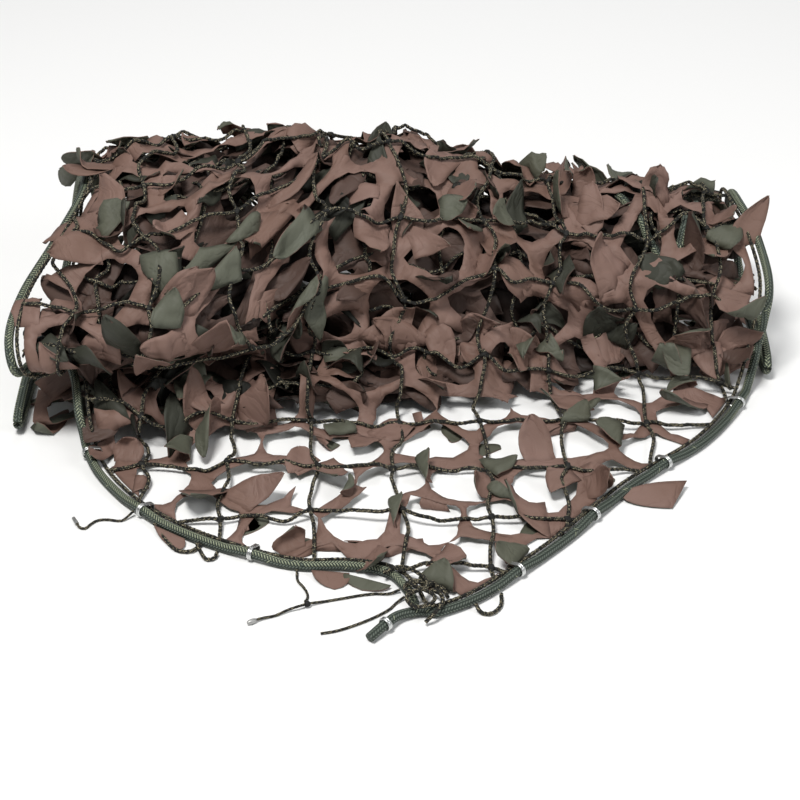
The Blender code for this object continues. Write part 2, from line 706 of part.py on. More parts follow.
def ringLoop(eye, reach):
    """Inner outline of a ring: round the rope, with a lower eye that reaches to one side."""
    wide = ROPE_RADIUS + CLIP_GAP
    loop = []
    for k in range(9):
        angle = math.radians(80 + 200 * k / 8)
        loop.append((wide * math.cos(angle), wide * math.sin(angle)))
    for k in range(5):
        angle = math.radians(-80 + 160 * k / 4)
        loop.append((reach - eye + eye * math.cos(angle), eye * math.sin(angle)))
    return loop


def addRing(name, loop, centre, along, inward, finish):
    """A band ring with the given inner outline, square to a rope that runs along."""
    up = along.cross(inward).normalized()
    count = len(loop)
    vertices = []
    for side in (-0.5, 0.5):
        for wall in (0.0, CLIP_WALL):
            for k, (a, b) in enumerate(loop):
                before, after = loop[k - 1], loop[(k + 1) % count]
                out = Vector((after[1] - before[1], before[0] - after[0])).normalized()
                vertices.append(centre + inward * (a + out.x * wall) + up * (b + out.y * wall)
                                + along * (side * CLIP_LENGTH))
    faces = []
    for k in range(count):
        n = (k + 1) % count
        ring = [k, k + count, k + 3 * count, k + 2 * count]
        following = [n, n + count, n + 3 * count, n + 2 * count]
        for j in range(4):
            faces.append((ring[j], following[j], following[(j + 1) % 4], ring[(j + 1) % 4]))
    made = addObject(name, vertices, faces, finish)
    fixNormals(made)
    return made


def fixNormals(made):
    work = bmesh.new()
    work.from_mesh(made.data)
    bmesh.ops.recalc_face_normals(work, faces=work.faces)
    work.to_mesh(made.data)
    work.free()


def levelAcross(along):
    return Vector((-along.y, along.x, 0)).normalized()


def makeRopeAndRings(ropeFinish, metal):
    path, seats = ropePath()
    addTube("edge_rope", path, ROPE_RADIUS, 6, ropeFinish)
    for n, i in enumerate(clipPlaces()):
        centre, along = seats[n + 1]
        ahead = ROPE_LINE[i + 3] - ROPE_LINE[i - 3]
        border = ROPE_LINE[i] + Vector((-ahead.y, ahead.x)).normalized() * BORDER_INSET
        cord = onSheet(border.x, border.y, (CORD_LOW + CORD_HIGH) / 2) - centre
        cord -= along * cord.dot(along)
        loop = ringLoop(CLIP_EYE, cord.length + CORD_WIDE / 2 + CLIP_SPARE)
        addRing("clip_%d" % (n + 1), loop, centre, along, cord.normalized(), metal)
    centre, along = seats[0]
    loop = ringLoop(ROPE_RADIUS + CLIP_GAP, ROPE_RADIUS + CLIP_GAP)
    addRing("corner_ring", loop, centre, along, levelAcross(along), metal)


def turned(name, profile, start, end, finish):
    """A solid turned about the line from start to end; the profile gives (share, radius)."""
    axis = end - start
    aside = axis.orthogonal().normalized()
    other = axis.normalized().cross(aside)
    sides = 8
    vertices = []
    for share, radius in profile:
        for k in range(sides):
            angle = 2 * math.pi * k / sides
            vertices.append(start + axis * share
                            + (aside * math.cos(angle) + other * math.sin(angle)) * radius)
    faces = []
    for j in range(len(profile) - 1):
        for k in range(sides):
            n = (k + 1) % sides
            faces.append((j * sides + k, j * sides + n, (j + 1) * sides + n, (j + 1) * sides + k))
    faces.append(tuple(reversed(range(sides))))
    last = (len(profile) - 1) * sides
    faces.append(tuple(range(last, last + sides)))
    made = addObject(name, vertices, faces, finish)
    fixNormals(made)
    return made


def tailPoints(name):
    """Middle line of a loose tail: out from the rope, then along its route on the floor."""
    low = TAIL_RADIUS + FLOOR_GAP
    side, *route = [Vector((x, y, rise)) * MILLIMETRE + Vector((0, -SHIFT_Y, low))
                    for x, y, rise in TAIL_ROUTES[name]]
    near = min(evenly(ropePath()[0], 0.001), key=lambda p: (p.xy - side.xy).length)
    out = (side.xy - near.xy).normalized() * (ROPE_RADIUS + TAIL_START)
    start = near + Vector((out.x, out.y, -TAIL_RADIUS))
    return smoothLine([start] + route, TAIL_STEP)


def makeTails(cord, grey):
    for name in TAIL_ROUTES:
        addTube(name, tailPoints(name), TAIL_RADIUS, 8, cord)
    for name, (tip, length, radius) in TAIL_TIPS.items():
        line = tailPoints(name)
        way = (line[-1] - line[-2]).normalized()
        way.z = 0
        start = line[-1] + way * PIECE_GAP
        turned(tip, TIP_PROFILES[tip](radius), start, start + way * length, grey)
    wide = TAIL_RADIUS * KNOT_SIZE
    loop = [(wide * math.cos(math.radians(a)), wide * math.sin(math.radians(a)))
            for a in range(180, -180, -45)]
    line = tailPoints("tail_long")
    end = tailPoints("tail_drop")[-1]
    k = min(range(len(line) - 1), key=lambda k: ((line[k] + line[k + 1]) / 2 - end).length)
    along = (line[k + 1] - line[k]).normalized()
    addRing("cord_knot", loop[::-1], (line[k] + line[k + 1]) / 2, along, levelAcross(along), grey)


TIP_PROFILES = {
    "crimp_tip": lambda r: ((0.0, 0.8 * r), (0.15, r), (0.55, 0.85 * r), (0.85, r), (1.0, 0.7 * r)),
    "bead_tip": lambda r: ((0.0, 0.55 * r), (0.25, 0.9 * r), (0.6, r), (0.88, 0.75 * r), (1.0, 0.35 * r)),
}


def main():
    cord = material("net_cord", (0.035, 0.037, 0.030), 0.85)
    rope = material("edge_rope", (0.045, 0.070, 0.050), 0.80)
    cloth = material("garnish_cloth", (0.250, 0.150, 0.125), 0.70)
    metal = material("clip_metal", (0.62, 0.63, 0.64), 0.35, 1.0)
    garnish, gapCount = makeCloth(cloth)
    makeSupportNet(cord)
    makeRopeAndRings(rope, metal)
    makeTails(cord, metal)
    print("openings cut in the cloth:", gapCount)


main()
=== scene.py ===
import bisect
import json
import math
import random
import time

import bmesh
import bpy
import numpy as np
from mathutils import Vector
from mathutils.geometry import delaunay_2d_cdt
from mathutils.kdtree import KDTree
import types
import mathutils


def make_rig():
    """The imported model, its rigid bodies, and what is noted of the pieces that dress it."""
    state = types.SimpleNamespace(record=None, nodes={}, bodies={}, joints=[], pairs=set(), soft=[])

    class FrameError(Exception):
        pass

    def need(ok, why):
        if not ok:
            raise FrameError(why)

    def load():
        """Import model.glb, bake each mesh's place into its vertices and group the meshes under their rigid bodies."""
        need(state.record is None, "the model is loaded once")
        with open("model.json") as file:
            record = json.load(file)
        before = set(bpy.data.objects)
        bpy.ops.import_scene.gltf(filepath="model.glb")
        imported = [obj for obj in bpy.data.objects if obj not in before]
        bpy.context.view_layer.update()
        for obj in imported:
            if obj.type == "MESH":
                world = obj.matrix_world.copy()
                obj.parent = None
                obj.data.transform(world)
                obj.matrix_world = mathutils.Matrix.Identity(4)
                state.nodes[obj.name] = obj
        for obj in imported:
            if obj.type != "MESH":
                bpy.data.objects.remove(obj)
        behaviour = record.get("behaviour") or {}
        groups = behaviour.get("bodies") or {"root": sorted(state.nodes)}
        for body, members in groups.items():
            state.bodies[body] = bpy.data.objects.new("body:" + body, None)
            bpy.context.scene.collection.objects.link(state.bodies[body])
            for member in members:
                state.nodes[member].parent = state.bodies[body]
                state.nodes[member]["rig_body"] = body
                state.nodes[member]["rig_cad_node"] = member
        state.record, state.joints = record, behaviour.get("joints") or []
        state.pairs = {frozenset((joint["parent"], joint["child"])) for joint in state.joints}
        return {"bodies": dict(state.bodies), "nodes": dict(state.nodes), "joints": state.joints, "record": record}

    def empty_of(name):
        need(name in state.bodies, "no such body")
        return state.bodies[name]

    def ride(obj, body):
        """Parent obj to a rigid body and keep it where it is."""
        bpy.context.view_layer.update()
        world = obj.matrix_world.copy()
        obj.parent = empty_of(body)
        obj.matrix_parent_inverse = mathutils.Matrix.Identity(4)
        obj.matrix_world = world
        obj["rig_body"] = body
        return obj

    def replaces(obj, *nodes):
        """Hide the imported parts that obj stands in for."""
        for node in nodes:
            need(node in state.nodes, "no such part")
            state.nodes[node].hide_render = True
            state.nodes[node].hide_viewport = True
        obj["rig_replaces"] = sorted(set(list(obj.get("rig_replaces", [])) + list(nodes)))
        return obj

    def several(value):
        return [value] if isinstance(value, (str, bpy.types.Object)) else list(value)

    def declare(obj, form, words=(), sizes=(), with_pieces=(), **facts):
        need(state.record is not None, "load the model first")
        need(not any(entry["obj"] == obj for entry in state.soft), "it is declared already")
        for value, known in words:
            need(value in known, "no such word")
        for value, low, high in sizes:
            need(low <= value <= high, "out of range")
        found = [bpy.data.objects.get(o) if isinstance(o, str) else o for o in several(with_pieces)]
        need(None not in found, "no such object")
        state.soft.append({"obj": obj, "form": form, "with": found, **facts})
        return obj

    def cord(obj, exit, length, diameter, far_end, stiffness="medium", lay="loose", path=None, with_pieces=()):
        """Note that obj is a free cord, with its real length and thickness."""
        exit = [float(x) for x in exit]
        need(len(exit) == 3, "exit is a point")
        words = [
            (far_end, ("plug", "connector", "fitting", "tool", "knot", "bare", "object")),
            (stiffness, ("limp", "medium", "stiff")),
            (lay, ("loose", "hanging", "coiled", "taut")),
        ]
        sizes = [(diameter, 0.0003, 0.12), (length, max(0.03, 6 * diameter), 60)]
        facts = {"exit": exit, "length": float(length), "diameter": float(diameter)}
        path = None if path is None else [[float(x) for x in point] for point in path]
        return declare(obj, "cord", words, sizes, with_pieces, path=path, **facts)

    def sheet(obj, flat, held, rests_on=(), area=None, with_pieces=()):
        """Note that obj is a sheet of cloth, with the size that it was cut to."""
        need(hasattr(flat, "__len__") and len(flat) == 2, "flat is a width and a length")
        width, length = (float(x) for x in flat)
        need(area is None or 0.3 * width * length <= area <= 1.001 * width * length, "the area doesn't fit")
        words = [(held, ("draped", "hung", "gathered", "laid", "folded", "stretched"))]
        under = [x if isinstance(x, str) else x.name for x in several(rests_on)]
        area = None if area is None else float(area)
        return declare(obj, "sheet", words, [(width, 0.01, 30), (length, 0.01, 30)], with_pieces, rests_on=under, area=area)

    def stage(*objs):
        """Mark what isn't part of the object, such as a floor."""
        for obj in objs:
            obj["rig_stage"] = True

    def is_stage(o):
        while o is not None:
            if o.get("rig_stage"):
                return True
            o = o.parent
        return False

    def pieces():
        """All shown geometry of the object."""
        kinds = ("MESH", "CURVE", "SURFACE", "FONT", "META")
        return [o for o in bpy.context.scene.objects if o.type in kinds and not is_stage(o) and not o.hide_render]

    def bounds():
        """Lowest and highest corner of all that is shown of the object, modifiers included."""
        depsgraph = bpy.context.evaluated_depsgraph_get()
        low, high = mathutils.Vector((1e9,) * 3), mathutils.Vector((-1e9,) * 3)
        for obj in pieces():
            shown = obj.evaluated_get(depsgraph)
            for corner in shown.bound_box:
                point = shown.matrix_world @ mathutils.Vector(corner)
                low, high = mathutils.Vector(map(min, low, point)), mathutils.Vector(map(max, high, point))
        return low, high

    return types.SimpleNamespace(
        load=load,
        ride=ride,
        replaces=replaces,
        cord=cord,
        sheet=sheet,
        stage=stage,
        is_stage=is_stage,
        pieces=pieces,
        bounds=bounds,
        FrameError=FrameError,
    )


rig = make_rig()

began = time.time()
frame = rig.load()
cadBox = [[float(x) for x in corner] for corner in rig.bounds()]
scene = bpy.context.scene


def stage(words):
    print("%5.1f s  %s" % (time.time() - began, words))


stage("frame loaded")


# Camera, light and floor.

camera = {
    "place": (0.0, -1.7649, 1.13856),
    "down": 32.009,            # degrees below level
    "lens": 95.745,
}
studio = {
    "skyColour": (0.95, 0.97, 1.0),
    "skyStrength": 0.21,
    "floorColour": (0.90, 0.90, 0.895),
    "lamps": (                 # place, aim, size, watts, colour
        ((-0.7, -1.2, 3.2), (0.0, 0.0, 0.05), 0.85, 108.0, (1.0, 0.99, 0.97)),
        ((2.3, -1.2, 1.7), (0.0, 0.05, 0.05), 1.2, 24.0, (0.98, 0.99, 1.0)),
        ((0.3, 2.1, 2.5), (0.0, 0.1, 0.1), 1.8, 22.0, (1.0, 1.0, 1.0)),
    ),
}


def makeStudio():
    data = bpy.data.cameras.new("camera")
    data.lens = camera["lens"]
    data.sensor_width = 36.0
    eye = bpy.data.objects.new("camera", data)
    eye.location = camera["place"]
    eye.rotation_euler = (math.radians(90 - camera["down"]), 0, 0)
    scene.collection.objects.link(eye)
    scene.camera = eye
    world = bpy.data.worlds.new("studio")
    world.use_nodes = True
    sky = {"Color": (*studio["skyColour"], 1), "Strength": studio["skyStrength"]}
    feed(world.node_tree.nodes["Background"], sky)
    scene.world = world
    for number, (place, aim, size, watts, colour) in enumerate(studio["lamps"]):
        data = bpy.data.lights.new("softBox%d" % number, "AREA")
        data.size = size
        data.energy = watts
        data.color = colour
        lamp = bpy.data.objects.new("softBox%d" % number, data)
        lamp.location = place
        lamp.rotation_euler = (Vector(aim) - Vector(place)).to_track_quat("-Z", "Y").to_euler()
        scene.collection.objects.link(lamp)
    floor = meshObject("floor", [(-4, -4, 0), (4, -4, 0), (4, 4, 0), (-4, 4, 0)], [(0, 1, 2, 3)])
    finish, shader = newMaterial("paleFloor")[:2]
    feed(shader, {"Base Color": (*studio["floorColour"], 1), "Roughness": 0.9, "Specular IOR Level": 0.1})
    floor.data.materials.append(finish)
    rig.stage(floor)


# Small helpers.

# Gives a node its inputs: each is a socket to join or a value.
def feed(node, inputs):
    for key, value in inputs.items():
        if isinstance(value, bpy.types.NodeSocket):
            node.id_data.links.new(value, node.inputs[key])
        else:
            node.inputs[key].default_value = value
    return node


# Two short ways to add nodes to a tree: any node with its inputs, and a Math node, as its output.
def nodeMaker(tree):
    def add(kind, inputs=None, **settings):
        node = tree.nodes.new(kind)
        for key, value in settings.items():
            setattr(node, key, value)
        return feed(node, inputs or {})

    def compute(operation, *parts):
        return add("ShaderNodeMath", dict(enumerate(parts)), operation=operation).outputs[0]
    return add, compute


# A new material, its shader and the ways to add nodes.
def newMaterial(name):
    made = bpy.data.materials.new(name)
    made.use_nodes = True
    add, compute = nodeMaker(made.node_tree)
    return made, made.node_tree.nodes["Principled BSDF"], add, compute


def meshObject(name, vertices, faces, edges=()):
    mesh = bpy.data.meshes.new(name)
    mesh.from_pydata([tuple(v) for v in vertices], list(edges), [tuple(f) for f in faces])
    mesh.update()
    made = bpy.data.objects.new(name, mesh)
    scene.collection.objects.link(made)
    return made


def smoothShade(made):
    made.data.polygons.foreach_set("use_smooth", [True] * len(made.data.polygons))


# The evaluated object as a plain mesh object of that name; the first one goes.
def frozen(made, name):
    shape = bpy.data.meshes.new_from_object(made.evaluated_get(bpy.context.evaluated_depsgraph_get()))
    bpy.data.objects.remove(made, do_unlink=True)
    shape.name = name
    result = bpy.data.objects.new(name, shape)
    scene.collection.objects.link(result)
    return result


# Quads of a grid of points, row by row; around joins its last column to its first.
def gridQuads(rows, columns, around=False):
    quads = []
    for k in range(rows - 1):
        for i in range(columns if around else columns - 1):
            n = (i + 1) % columns
            quads.append((k * columns + i, k * columns + n, (k + 1) * columns + n, (k + 1) * columns + i))
    return quads


# The folded sheet.

sheet = {
    "half": 0.375,             # half width, to the middle of the rope
    "end": 1.50,               # length, to the rope at the far hem
    "shiftY": 0.1206,
    "datumY": -0.200,          # where v = 0 lies in the fold table
    "floor": 0.001,            # middle of the cloth above the floor
    "layerFront": 0.030,       # the inner layers begin this far behind the foot and end before the back
    "layerBack": 0.030,
    "layerStep": 0.026,        # and each pair lies this much further in
    "openWave": 0.50,          # share of the waves on the open corner, in the pleat and inside the heap
    "pleatWave": 0.15,
    "innerWave": 0.35,
    "waveBend": 0.8,
    "backHeight": 0.050,       # where the mark back lies on the back of the heap
}
foldColumns = ("u", "footY", "lipY", "lipZ", "pleatY", "pleatGap", "noseY", "noseZ",
               "browY", "browZ", "crestY", "crestZ", "backY", "backZ", "layerGap")
folds = (
    (-390, 80, 90, 42, 168, 28, 92, 92, 125, 114, 240, 122, 415, 80, 26),
    (-300, 86, 95, 45, 178, 30, 88, 106, 128, 156, 255, 200, 428, 115, 27),
    (-200, 98, 106, 45, 183, 30, 106, 106, 145, 162, 265, 216, 435, 125, 27),
    (-110, 122, 130, 44, 195, 30, 160, 102, 190, 142, 285, 214, 440, 125, 28),
    (-30, 138, 148, 40, 190, 16, 202, 102, 232, 136, 310, 206, 442, 120, 34),
    (60, 156, 170, 36, 194, 10, 214, 98, 245, 120, 330, 196, 442, 115, 34),
    (150, 176, 190, 34, 204, 10, 221, 93, 250, 122, 320, 160, 438, 95, 32),
    (270, 198, 214, 36, 221, 10, 228, 98, 258, 130, 325, 152, 432, 90, 32),
    (390, 182, 200, 34, 212, 10, 222, 88, 256, 118, 320, 142, 420, 80, 30),
)
waves = (                      # height, length along u and v, slant, start
    (0.0052, 0.230, 0.260, 0.45, 0.3),
    (0.0036, 0.160, 0.220, -0.70, 1.9),
    (0.0022, 0.120, 0.160, 0.90, 4.1),
)
# The rope's line in metres: its legs in x and y of the fold table, its climbs in sheet coordinates.
leftLeg = ((0.013, -0.166), (0.005, -0.142), (-0.012, -0.119), (-0.049, -0.110), (-0.089, -0.110),
           (-0.132, -0.096), (-0.192, -0.064), (-0.238, -0.028), (-0.274, 0.017), (-0.298, 0.062))
rightLeg = ((0.013, -0.166), (0.026, -0.179), (0.057, -0.165), (0.089, -0.138), (0.146, -0.076),
            (0.179, -0.034), (0.217, 0.014), (0.255, 0.052), (0.292, 0.088), (0.322, 0.130))
leftClimb = ((-0.310, 0.310), (-0.322, 0.370), (-0.352, 0.440), (-0.372, 0.510), (-0.366, 0.580),
             (-0.340, 0.650), (-0.320, 0.720), (-0.324, 0.790), (-0.350, 0.870), (-0.375, 0.960))
rightClimb = ((0.346, 0.376), (0.362, 0.430), (0.371, 0.490), (0.364, 0.555), (0.352, 0.620),
              (0.354, 0.700), (0.368, 0.770), (0.375, 0.840))
hemCorner = 0.045              # radius of the far corners of the sheet
cornerSteps = 24               # points in each rounded corner of the section
hiddenCorner = 15              # from this corner on, the section lies inside the heap
gridU = np.linspace(-0.39, 0.39, 105)
gridV = np.arange(0.0, sheet["end"] + 0.021, 0.004)


# The fold table's row at a place across the sheet, in metres, smooth from row to row.
def tableAt(u):
    rows = [[value * 0.001 for value in row] for row in folds]
    places = [row[0] for row in rows]
    u = min(max(u, places[0]), places[-1])
    i = min(max(bisect.bisect_right(places, u) - 1, 0), len(rows) - 2)
    before, first, second, after = rows[max(i - 1, 0)], rows[i], rows[i + 1], rows[min(i + 2, len(rows) - 1)]
    span = second[0] - first[0]
    t = (u - first[0]) / span
    row = {}
    for k, name in enumerate(foldColumns):
        slopeA = (second[k] - before[k]) / (second[0] - before[0]) * span
        slopeB = (after[k] - first[k]) / (after[0] - first[0]) * span
        row[name] = ((2 * t ** 3 - 3 * t ** 2 + 1) * first[k] + (t ** 3 - 2 * t ** 2 + t) * slopeA
                     + (3 * t ** 2 - 2 * t ** 3) * second[k] + (t ** 3 - t ** 2) * slopeB)
    return row


# Corner points (y, z) of the sheet's section, from the front to the far hem.
def foldSection(u):
    f = tableAt(u)
    floor = sheet["floor"]
    front = f["footY"] + sheet["layerFront"]
    back = f["backY"] - sheet["layerBack"]
    points = [
        (sheet["datumY"], floor), ((sheet["datumY"] + f["footY"]) / 2, floor),
        (f["footY"] - 0.030, floor), (f["footY"], floor + 0.002),
        (f["lipY"], f["lipZ"]), (f["pleatY"], f["lipZ"] + 0.006),
        (f["pleatY"], f["lipZ"] + 0.006 + f["pleatGap"]),
        (f["noseY"], f["noseZ"] - 0.022), (f["noseY"], f["noseZ"] + 0.012),
        (f["browY"], f["browZ"]), (f["crestY"], f["crestZ"]),
        (f["backY"] - 0.030, f["crestZ"] * 0.90), (f["backY"] + 0.008, f["backZ"]),
        (f["backY"], floor), (f["backY"] - 0.040, floor), (front, floor),
    ]
    height = floor
    for layer in range(2):
        inward = sheet["layerStep"] * layer
        points += [
            (front + inward, height + f["layerGap"]), (back - inward, height + f["layerGap"]),
            (back - inward, height + 2 * f["layerGap"]),
            (front + inward + sheet["layerStep"], height + 2 * f["layerGap"]),
        ]
        height += 2 * f["layerGap"]
    return points


# The section with its corners rounded off.
def roundedSection(points):
    corners = np.array(points)
    middles = (corners[:-1] + corners[1:]) / 2
    steps = np.linspace(0.0, 1.0, cornerSteps)[:, None]
    pieces = [corners[:1]]
    for i in range(1, len(corners) - 1):
        a, b, c = middles[i - 1], corners[i], middles[i]
        pieces.append((1 - steps) ** 2 * a + 2 * steps * (1 - steps) * b + steps ** 2 * c)
    pieces.append(corners[-1:])
    return np.vstack(pieces)


# 0 below low, 1 above high, and smooth in between.
def between(values, low, high):
    t = np.clip((values - low) / (high - low), 0.0, 1.0)
    return t * t * (3 - 2 * t)


# Points and normals of the sheet on the grid, and where its foot, lip, nose and back lie.
def layFlatSheet():
    points = np.zeros((len(gridU), len(gridV), 3))
    names = ("foot", "lip", "nose", "back", "depth")
    marks = {name: np.zeros((len(gridU), 1)) for name in names}
    lines = []
    cornerPlaces = np.zeros((len(gridU), len(foldSection(0.0)) - 1 - hiddenCorner))
    for i, u in enumerate(gridU):
        corners = foldSection(u)
        line = roundedSection(corners)
        length = np.concatenate(([0.0], np.cumsum(np.hypot(*np.diff(line, axis=0).T))))
        lines.append((line, length))
        for name, corner in (("foot", 3), ("lip", 4), ("nose", 8)):
            apart = np.hypot(line[:, 0] - corners[corner][0], line[:, 1] - corners[corner][1])
            marks[name][i] = length[int(np.argmin(apart))]
        after = np.nonzero((length > marks["nose"][i]) & (line[:, 1] < sheet["backHeight"]))[0]
        marks["back"][i] = length[after[0]]
        marks["depth"][i] = corners[5][0] - corners[8][0]
        cornerPlaces[i] = length[cornerSteps * np.arange(hiddenCorner, len(corners) - 1)]
    apart = np.diff(cornerPlaces, axis=1).mean(axis=0)
    level = cornerPlaces[:, 0].max() + np.concatenate(([0.0], np.cumsum(apart)))
    for i, (line, length) in enumerate(lines):
        back = marks["back"][i, 0]
        places = np.interp(gridV, np.concatenate(([0.0, back], level, [level[-1] + 0.5])),
                           np.concatenate(([0.0, back], cornerPlaces[i], [cornerPlaces[i, -1] + 0.5])))
        points[i, :, 0] = gridU[i]
        points[i, :, 1] = np.interp(places, length, line[:, 0]) - sheet["shiftY"]
        points[i, :, 2] = np.interp(places, length, line[:, 1])
    return points, normalsOf(points), marks


# Unit normals of a grid of points.
def normalsOf(points):
    normals = np.cross(np.gradient(points, gridU, axis=0), np.gradient(points, gridV, axis=1))
    return normals / np.linalg.norm(normals, axis=2, keepdims=True)


# Points every step along a smooth curve through the given ones.
def smoothLine(points, step):
    fixed = [Vector(p) for p in points]
    padded = [2 * fixed[0] - fixed[1]] + fixed + [2 * fixed[-1] - fixed[-2]]
    dense = []
    for i in range(1, len(padded) - 2):
        p0, p1, p2, p3 = padded[i - 1:i + 3]
        for k in range(16):
            t = k / 16
            dense.append(0.5 * (2 * p1 + (p2 - p0) * t + (2 * p0 - 5 * p1 + 4 * p2 - p3) * t * t
                                + (3 * p1 - p0 - 3 * p2 + p3) * t ** 3))
    dense.append(fixed[-1])
    return evenly(dense, step)


# The same line with its points a step apart.
def evenly(line, step):
    lengths = [0.0]
    for a, b in zip(line, line[1:]):
        lengths.append(lengths[-1] + (b - a).length)
    count = max(2, round(lengths[-1] / step))
    out = []
    for k in range(count + 1):
        target = lengths[-1] * k / count
        i = min(bisect.bisect_right(lengths, target) - 1, len(line) - 2)
        span = max(lengths[i + 1] - lengths[i], 1e-9)
        out.append(line[i].lerp(line[i + 1], min(max((target - lengths[i]) / span, 0), 1)))
    return out


# The rope's middle in sheet coordinates, once round from the front corner.
def ropeLine():
    sides = []
    for leg, climb in ((rightLeg, rightClimb), (leftLeg, leftClimb)):
        sides.append(smoothLine([(x, y - sheet["datumY"]) for x, y in leg] + list(climb), 0.006))
    hem = []
    for turn in range(7):
        angle = math.radians(15 * turn)
        hem.append(Vector((sheet["half"] - hemCorner * (1 - math.cos(angle)),
                           sheet["end"] - hemCorner * (1 - math.sin(angle)))))
    hem += [Vector((-p.x, p.y)) for p in reversed(hem)]
    return evenly(sides[0] + hem + sides[1][::-1], 0.006)


ropeTrack = ropeLine()
trackPoints = np.array([p[:] for p in ropeTrack])


# Distance from each sheet place to the nearest of some points.
def nearest(places, points):
    apart = np.full(len(places), 1.0)
    for point in points:
        apart = np.minimum(apart, np.hypot(places[:, 0] - point[0], places[:, 1] - point[1]))
    return apart


# Distance from each sheet place to the rope.
def fromRope(places):
    return nearest(places, trackPoints[::2])


# A place in space given as x and y in the fold table and its rise, in millimetres.
def tablePlace(x, y, rise):
    return Vector((x, y, rise)) * 0.001 - Vector((0, sheet["shiftY"], 0))


# The folded sheet with broad waves, which fade at the rope and in the folds.
def raiseWaves(points, normals, marks):
    u, v = np.meshgrid(gridU, gridV, indexing="ij")
    wave = np.zeros_like(u)
    for height, lengthU, lengthV, slant, start in waves:
        phase = 2 * math.pi * (u + slant * v) / lengthU + start
        wave += height * np.sin(phase + sheet["waveBend"] * np.sin(2 * math.pi * (v - slant * u) / lengthV))
    opened = sheet["openWave"] * np.maximum(wave + 0.75 * sum(row[0] for row in waves), 0.0)
    rise = between(v, marks["foot"], marks["foot"] + 0.08)
    wave = (1 - rise) * opened + rise * wave
    inPleat = between(v, marks["lip"] - 0.01, marks["lip"] + 0.03)
    inPleat *= 1 - between(v, marks["nose"] - 0.05, marks["nose"])
    wave *= 1 - (1 - sheet["pleatWave"]) * inPleat * between(marks["depth"], -0.02, 0.03)
    folded = between(v, marks["back"] - 0.05, marks["back"])
    wave *= 1 - (1 - sheet["innerWave"] * between(points[:, :, 2], 0.008, 0.026)) * folded
    apart = fromRope(np.stack((u.ravel(), v.ravel()), axis=1)).reshape(u.shape)
    wave *= between(apart, 0.004, 0.060)
    return points + normals * wave[:, :, None]


flatPoints, sheetNormals, marks = layFlatSheet()
sheetPoints = raiseWaves(flatPoints, sheetNormals, marks)


# Values at sheet places of a field on the grid.
def sampled(field, places):
    fu = np.clip((places[:, 0] - gridU[0]) / (gridU[1] - gridU[0]), 0, len(gridU) - 1.001)
    fv = np.clip((places[:, 1] - gridV[0]) / (gridV[1] - gridV[0]), 0, len(gridV) - 1.001)
    i, j = fu.astype(int), fv.astype(int)
    a, b = (fu - i)[:, None], (fv - j)[:, None]
    return ((1 - a) * (1 - b) * field[i, j] + a * (1 - b) * field[i + 1, j]
            + (1 - a) * b * field[i, j + 1] + a * b * field[i + 1, j + 1])


# How far along the sheet a mark lies, by the place across it.
def markAt(name, u):
    return np.interp(u, gridU, marks[name][:, 0])


# Unit normals at sheet places.
def normalAt(places):
    normals = sampled(sheetNormals, places)
    return normals / np.linalg.norm(normals, axis=1, keepdims=True)


creases = {
    "amount": 0.0050,          # on the heap
    "openAmount": 0.0036,      # on the open corner
    "lump": 0.0055,            # broader lumps of the heap
    "rows": (                  # length along u and v, slant, start, share
        (0.061, 0.090, 0.5, 0.4, 0.34), (0.043, 0.071, -0.8, 2.2, 0.26),
        (0.030, 0.052, 1.3, 4.0, 0.16), (0.083, 0.055, -0.3, 5.1, 0.24),
    ),
    "sharp": 0.0042,
    "sharpRows": ((0.115, 0.140, 1.1, 0.9, 0.5), (0.092, 0.100, -1.4, 2.9, 0.5)),
    "lumpRows": ((0.140, 0.120, 0.7, 1.2, 0.55), (0.105, 0.150, -0.9, 3.3, 0.45)),
}


# A sum of bent sines at sheet places.
def wavy(places, rows):
    u, v = places[:, 0], places[:, 1]
    total = np.zeros(len(places))
    for lengthU, lengthV, slant, start, share in rows:
        bend = 1.5 * np.sin(2 * math.pi * (v - slant * u) / lengthV + 2 * start)
        total += share * np.sin(2 * math.pi * (u + slant * v) / lengthU + start + bend)
    return total


# 0 on the open corner, 1 on the heap.
def heapShare(places):
    foot = markAt("foot", places[:, 0])
    return between(places[:, 1], foot - 0.02, foot + 0.05)


# How far the fine creases lift the cloth off the smooth sheet.
def rippleAt(places):
    heap = heapShare(places)
    fine = wavy(places, creases["rows"])
    sharp = 1 - 2 * np.sqrt(np.abs(wavy(places, creases["sharpRows"])))
    rise = (1 - heap) * creases["openAmount"] * (fine + 0.8) + heap * creases["amount"] * fine
    rise += heap * (creases["lump"] * wavy(places, creases["lumpRows"]) + creases["sharp"] * sharp)
    back = markAt("back", places[:, 0])
    rise *= 1 - 0.85 * between(places[:, 1], back - 0.03, back + 0.02)
    lip, nose = markAt("lip", places[:, 0]), markAt("nose", places[:, 0])
    deep = between(markAt("depth", places[:, 0]), -0.02, 0.03)
    pleat = between(places[:, 1], lip, lip + 0.03) * (1 - between(places[:, 1], nose - 0.05, nose))
    rise *= 1 - 0.8 * pleat * deep
    return rise * between(fromRope(places), 0.008, 0.045)


# Places in space of sheet places, lifted off the cloth by the offsets.
def carry(places, offsets=0.0, ripple=True, least=0.0006):
    places = np.asarray(places, dtype=float)
    lift = offsets + (rippleAt(places) if ripple else np.zeros(len(places)))
    out = sampled(sheetPoints, places) + normalAt(places) * lift[:, None]
    out[:, 2] = np.maximum(out[:, 2], least)
    return out


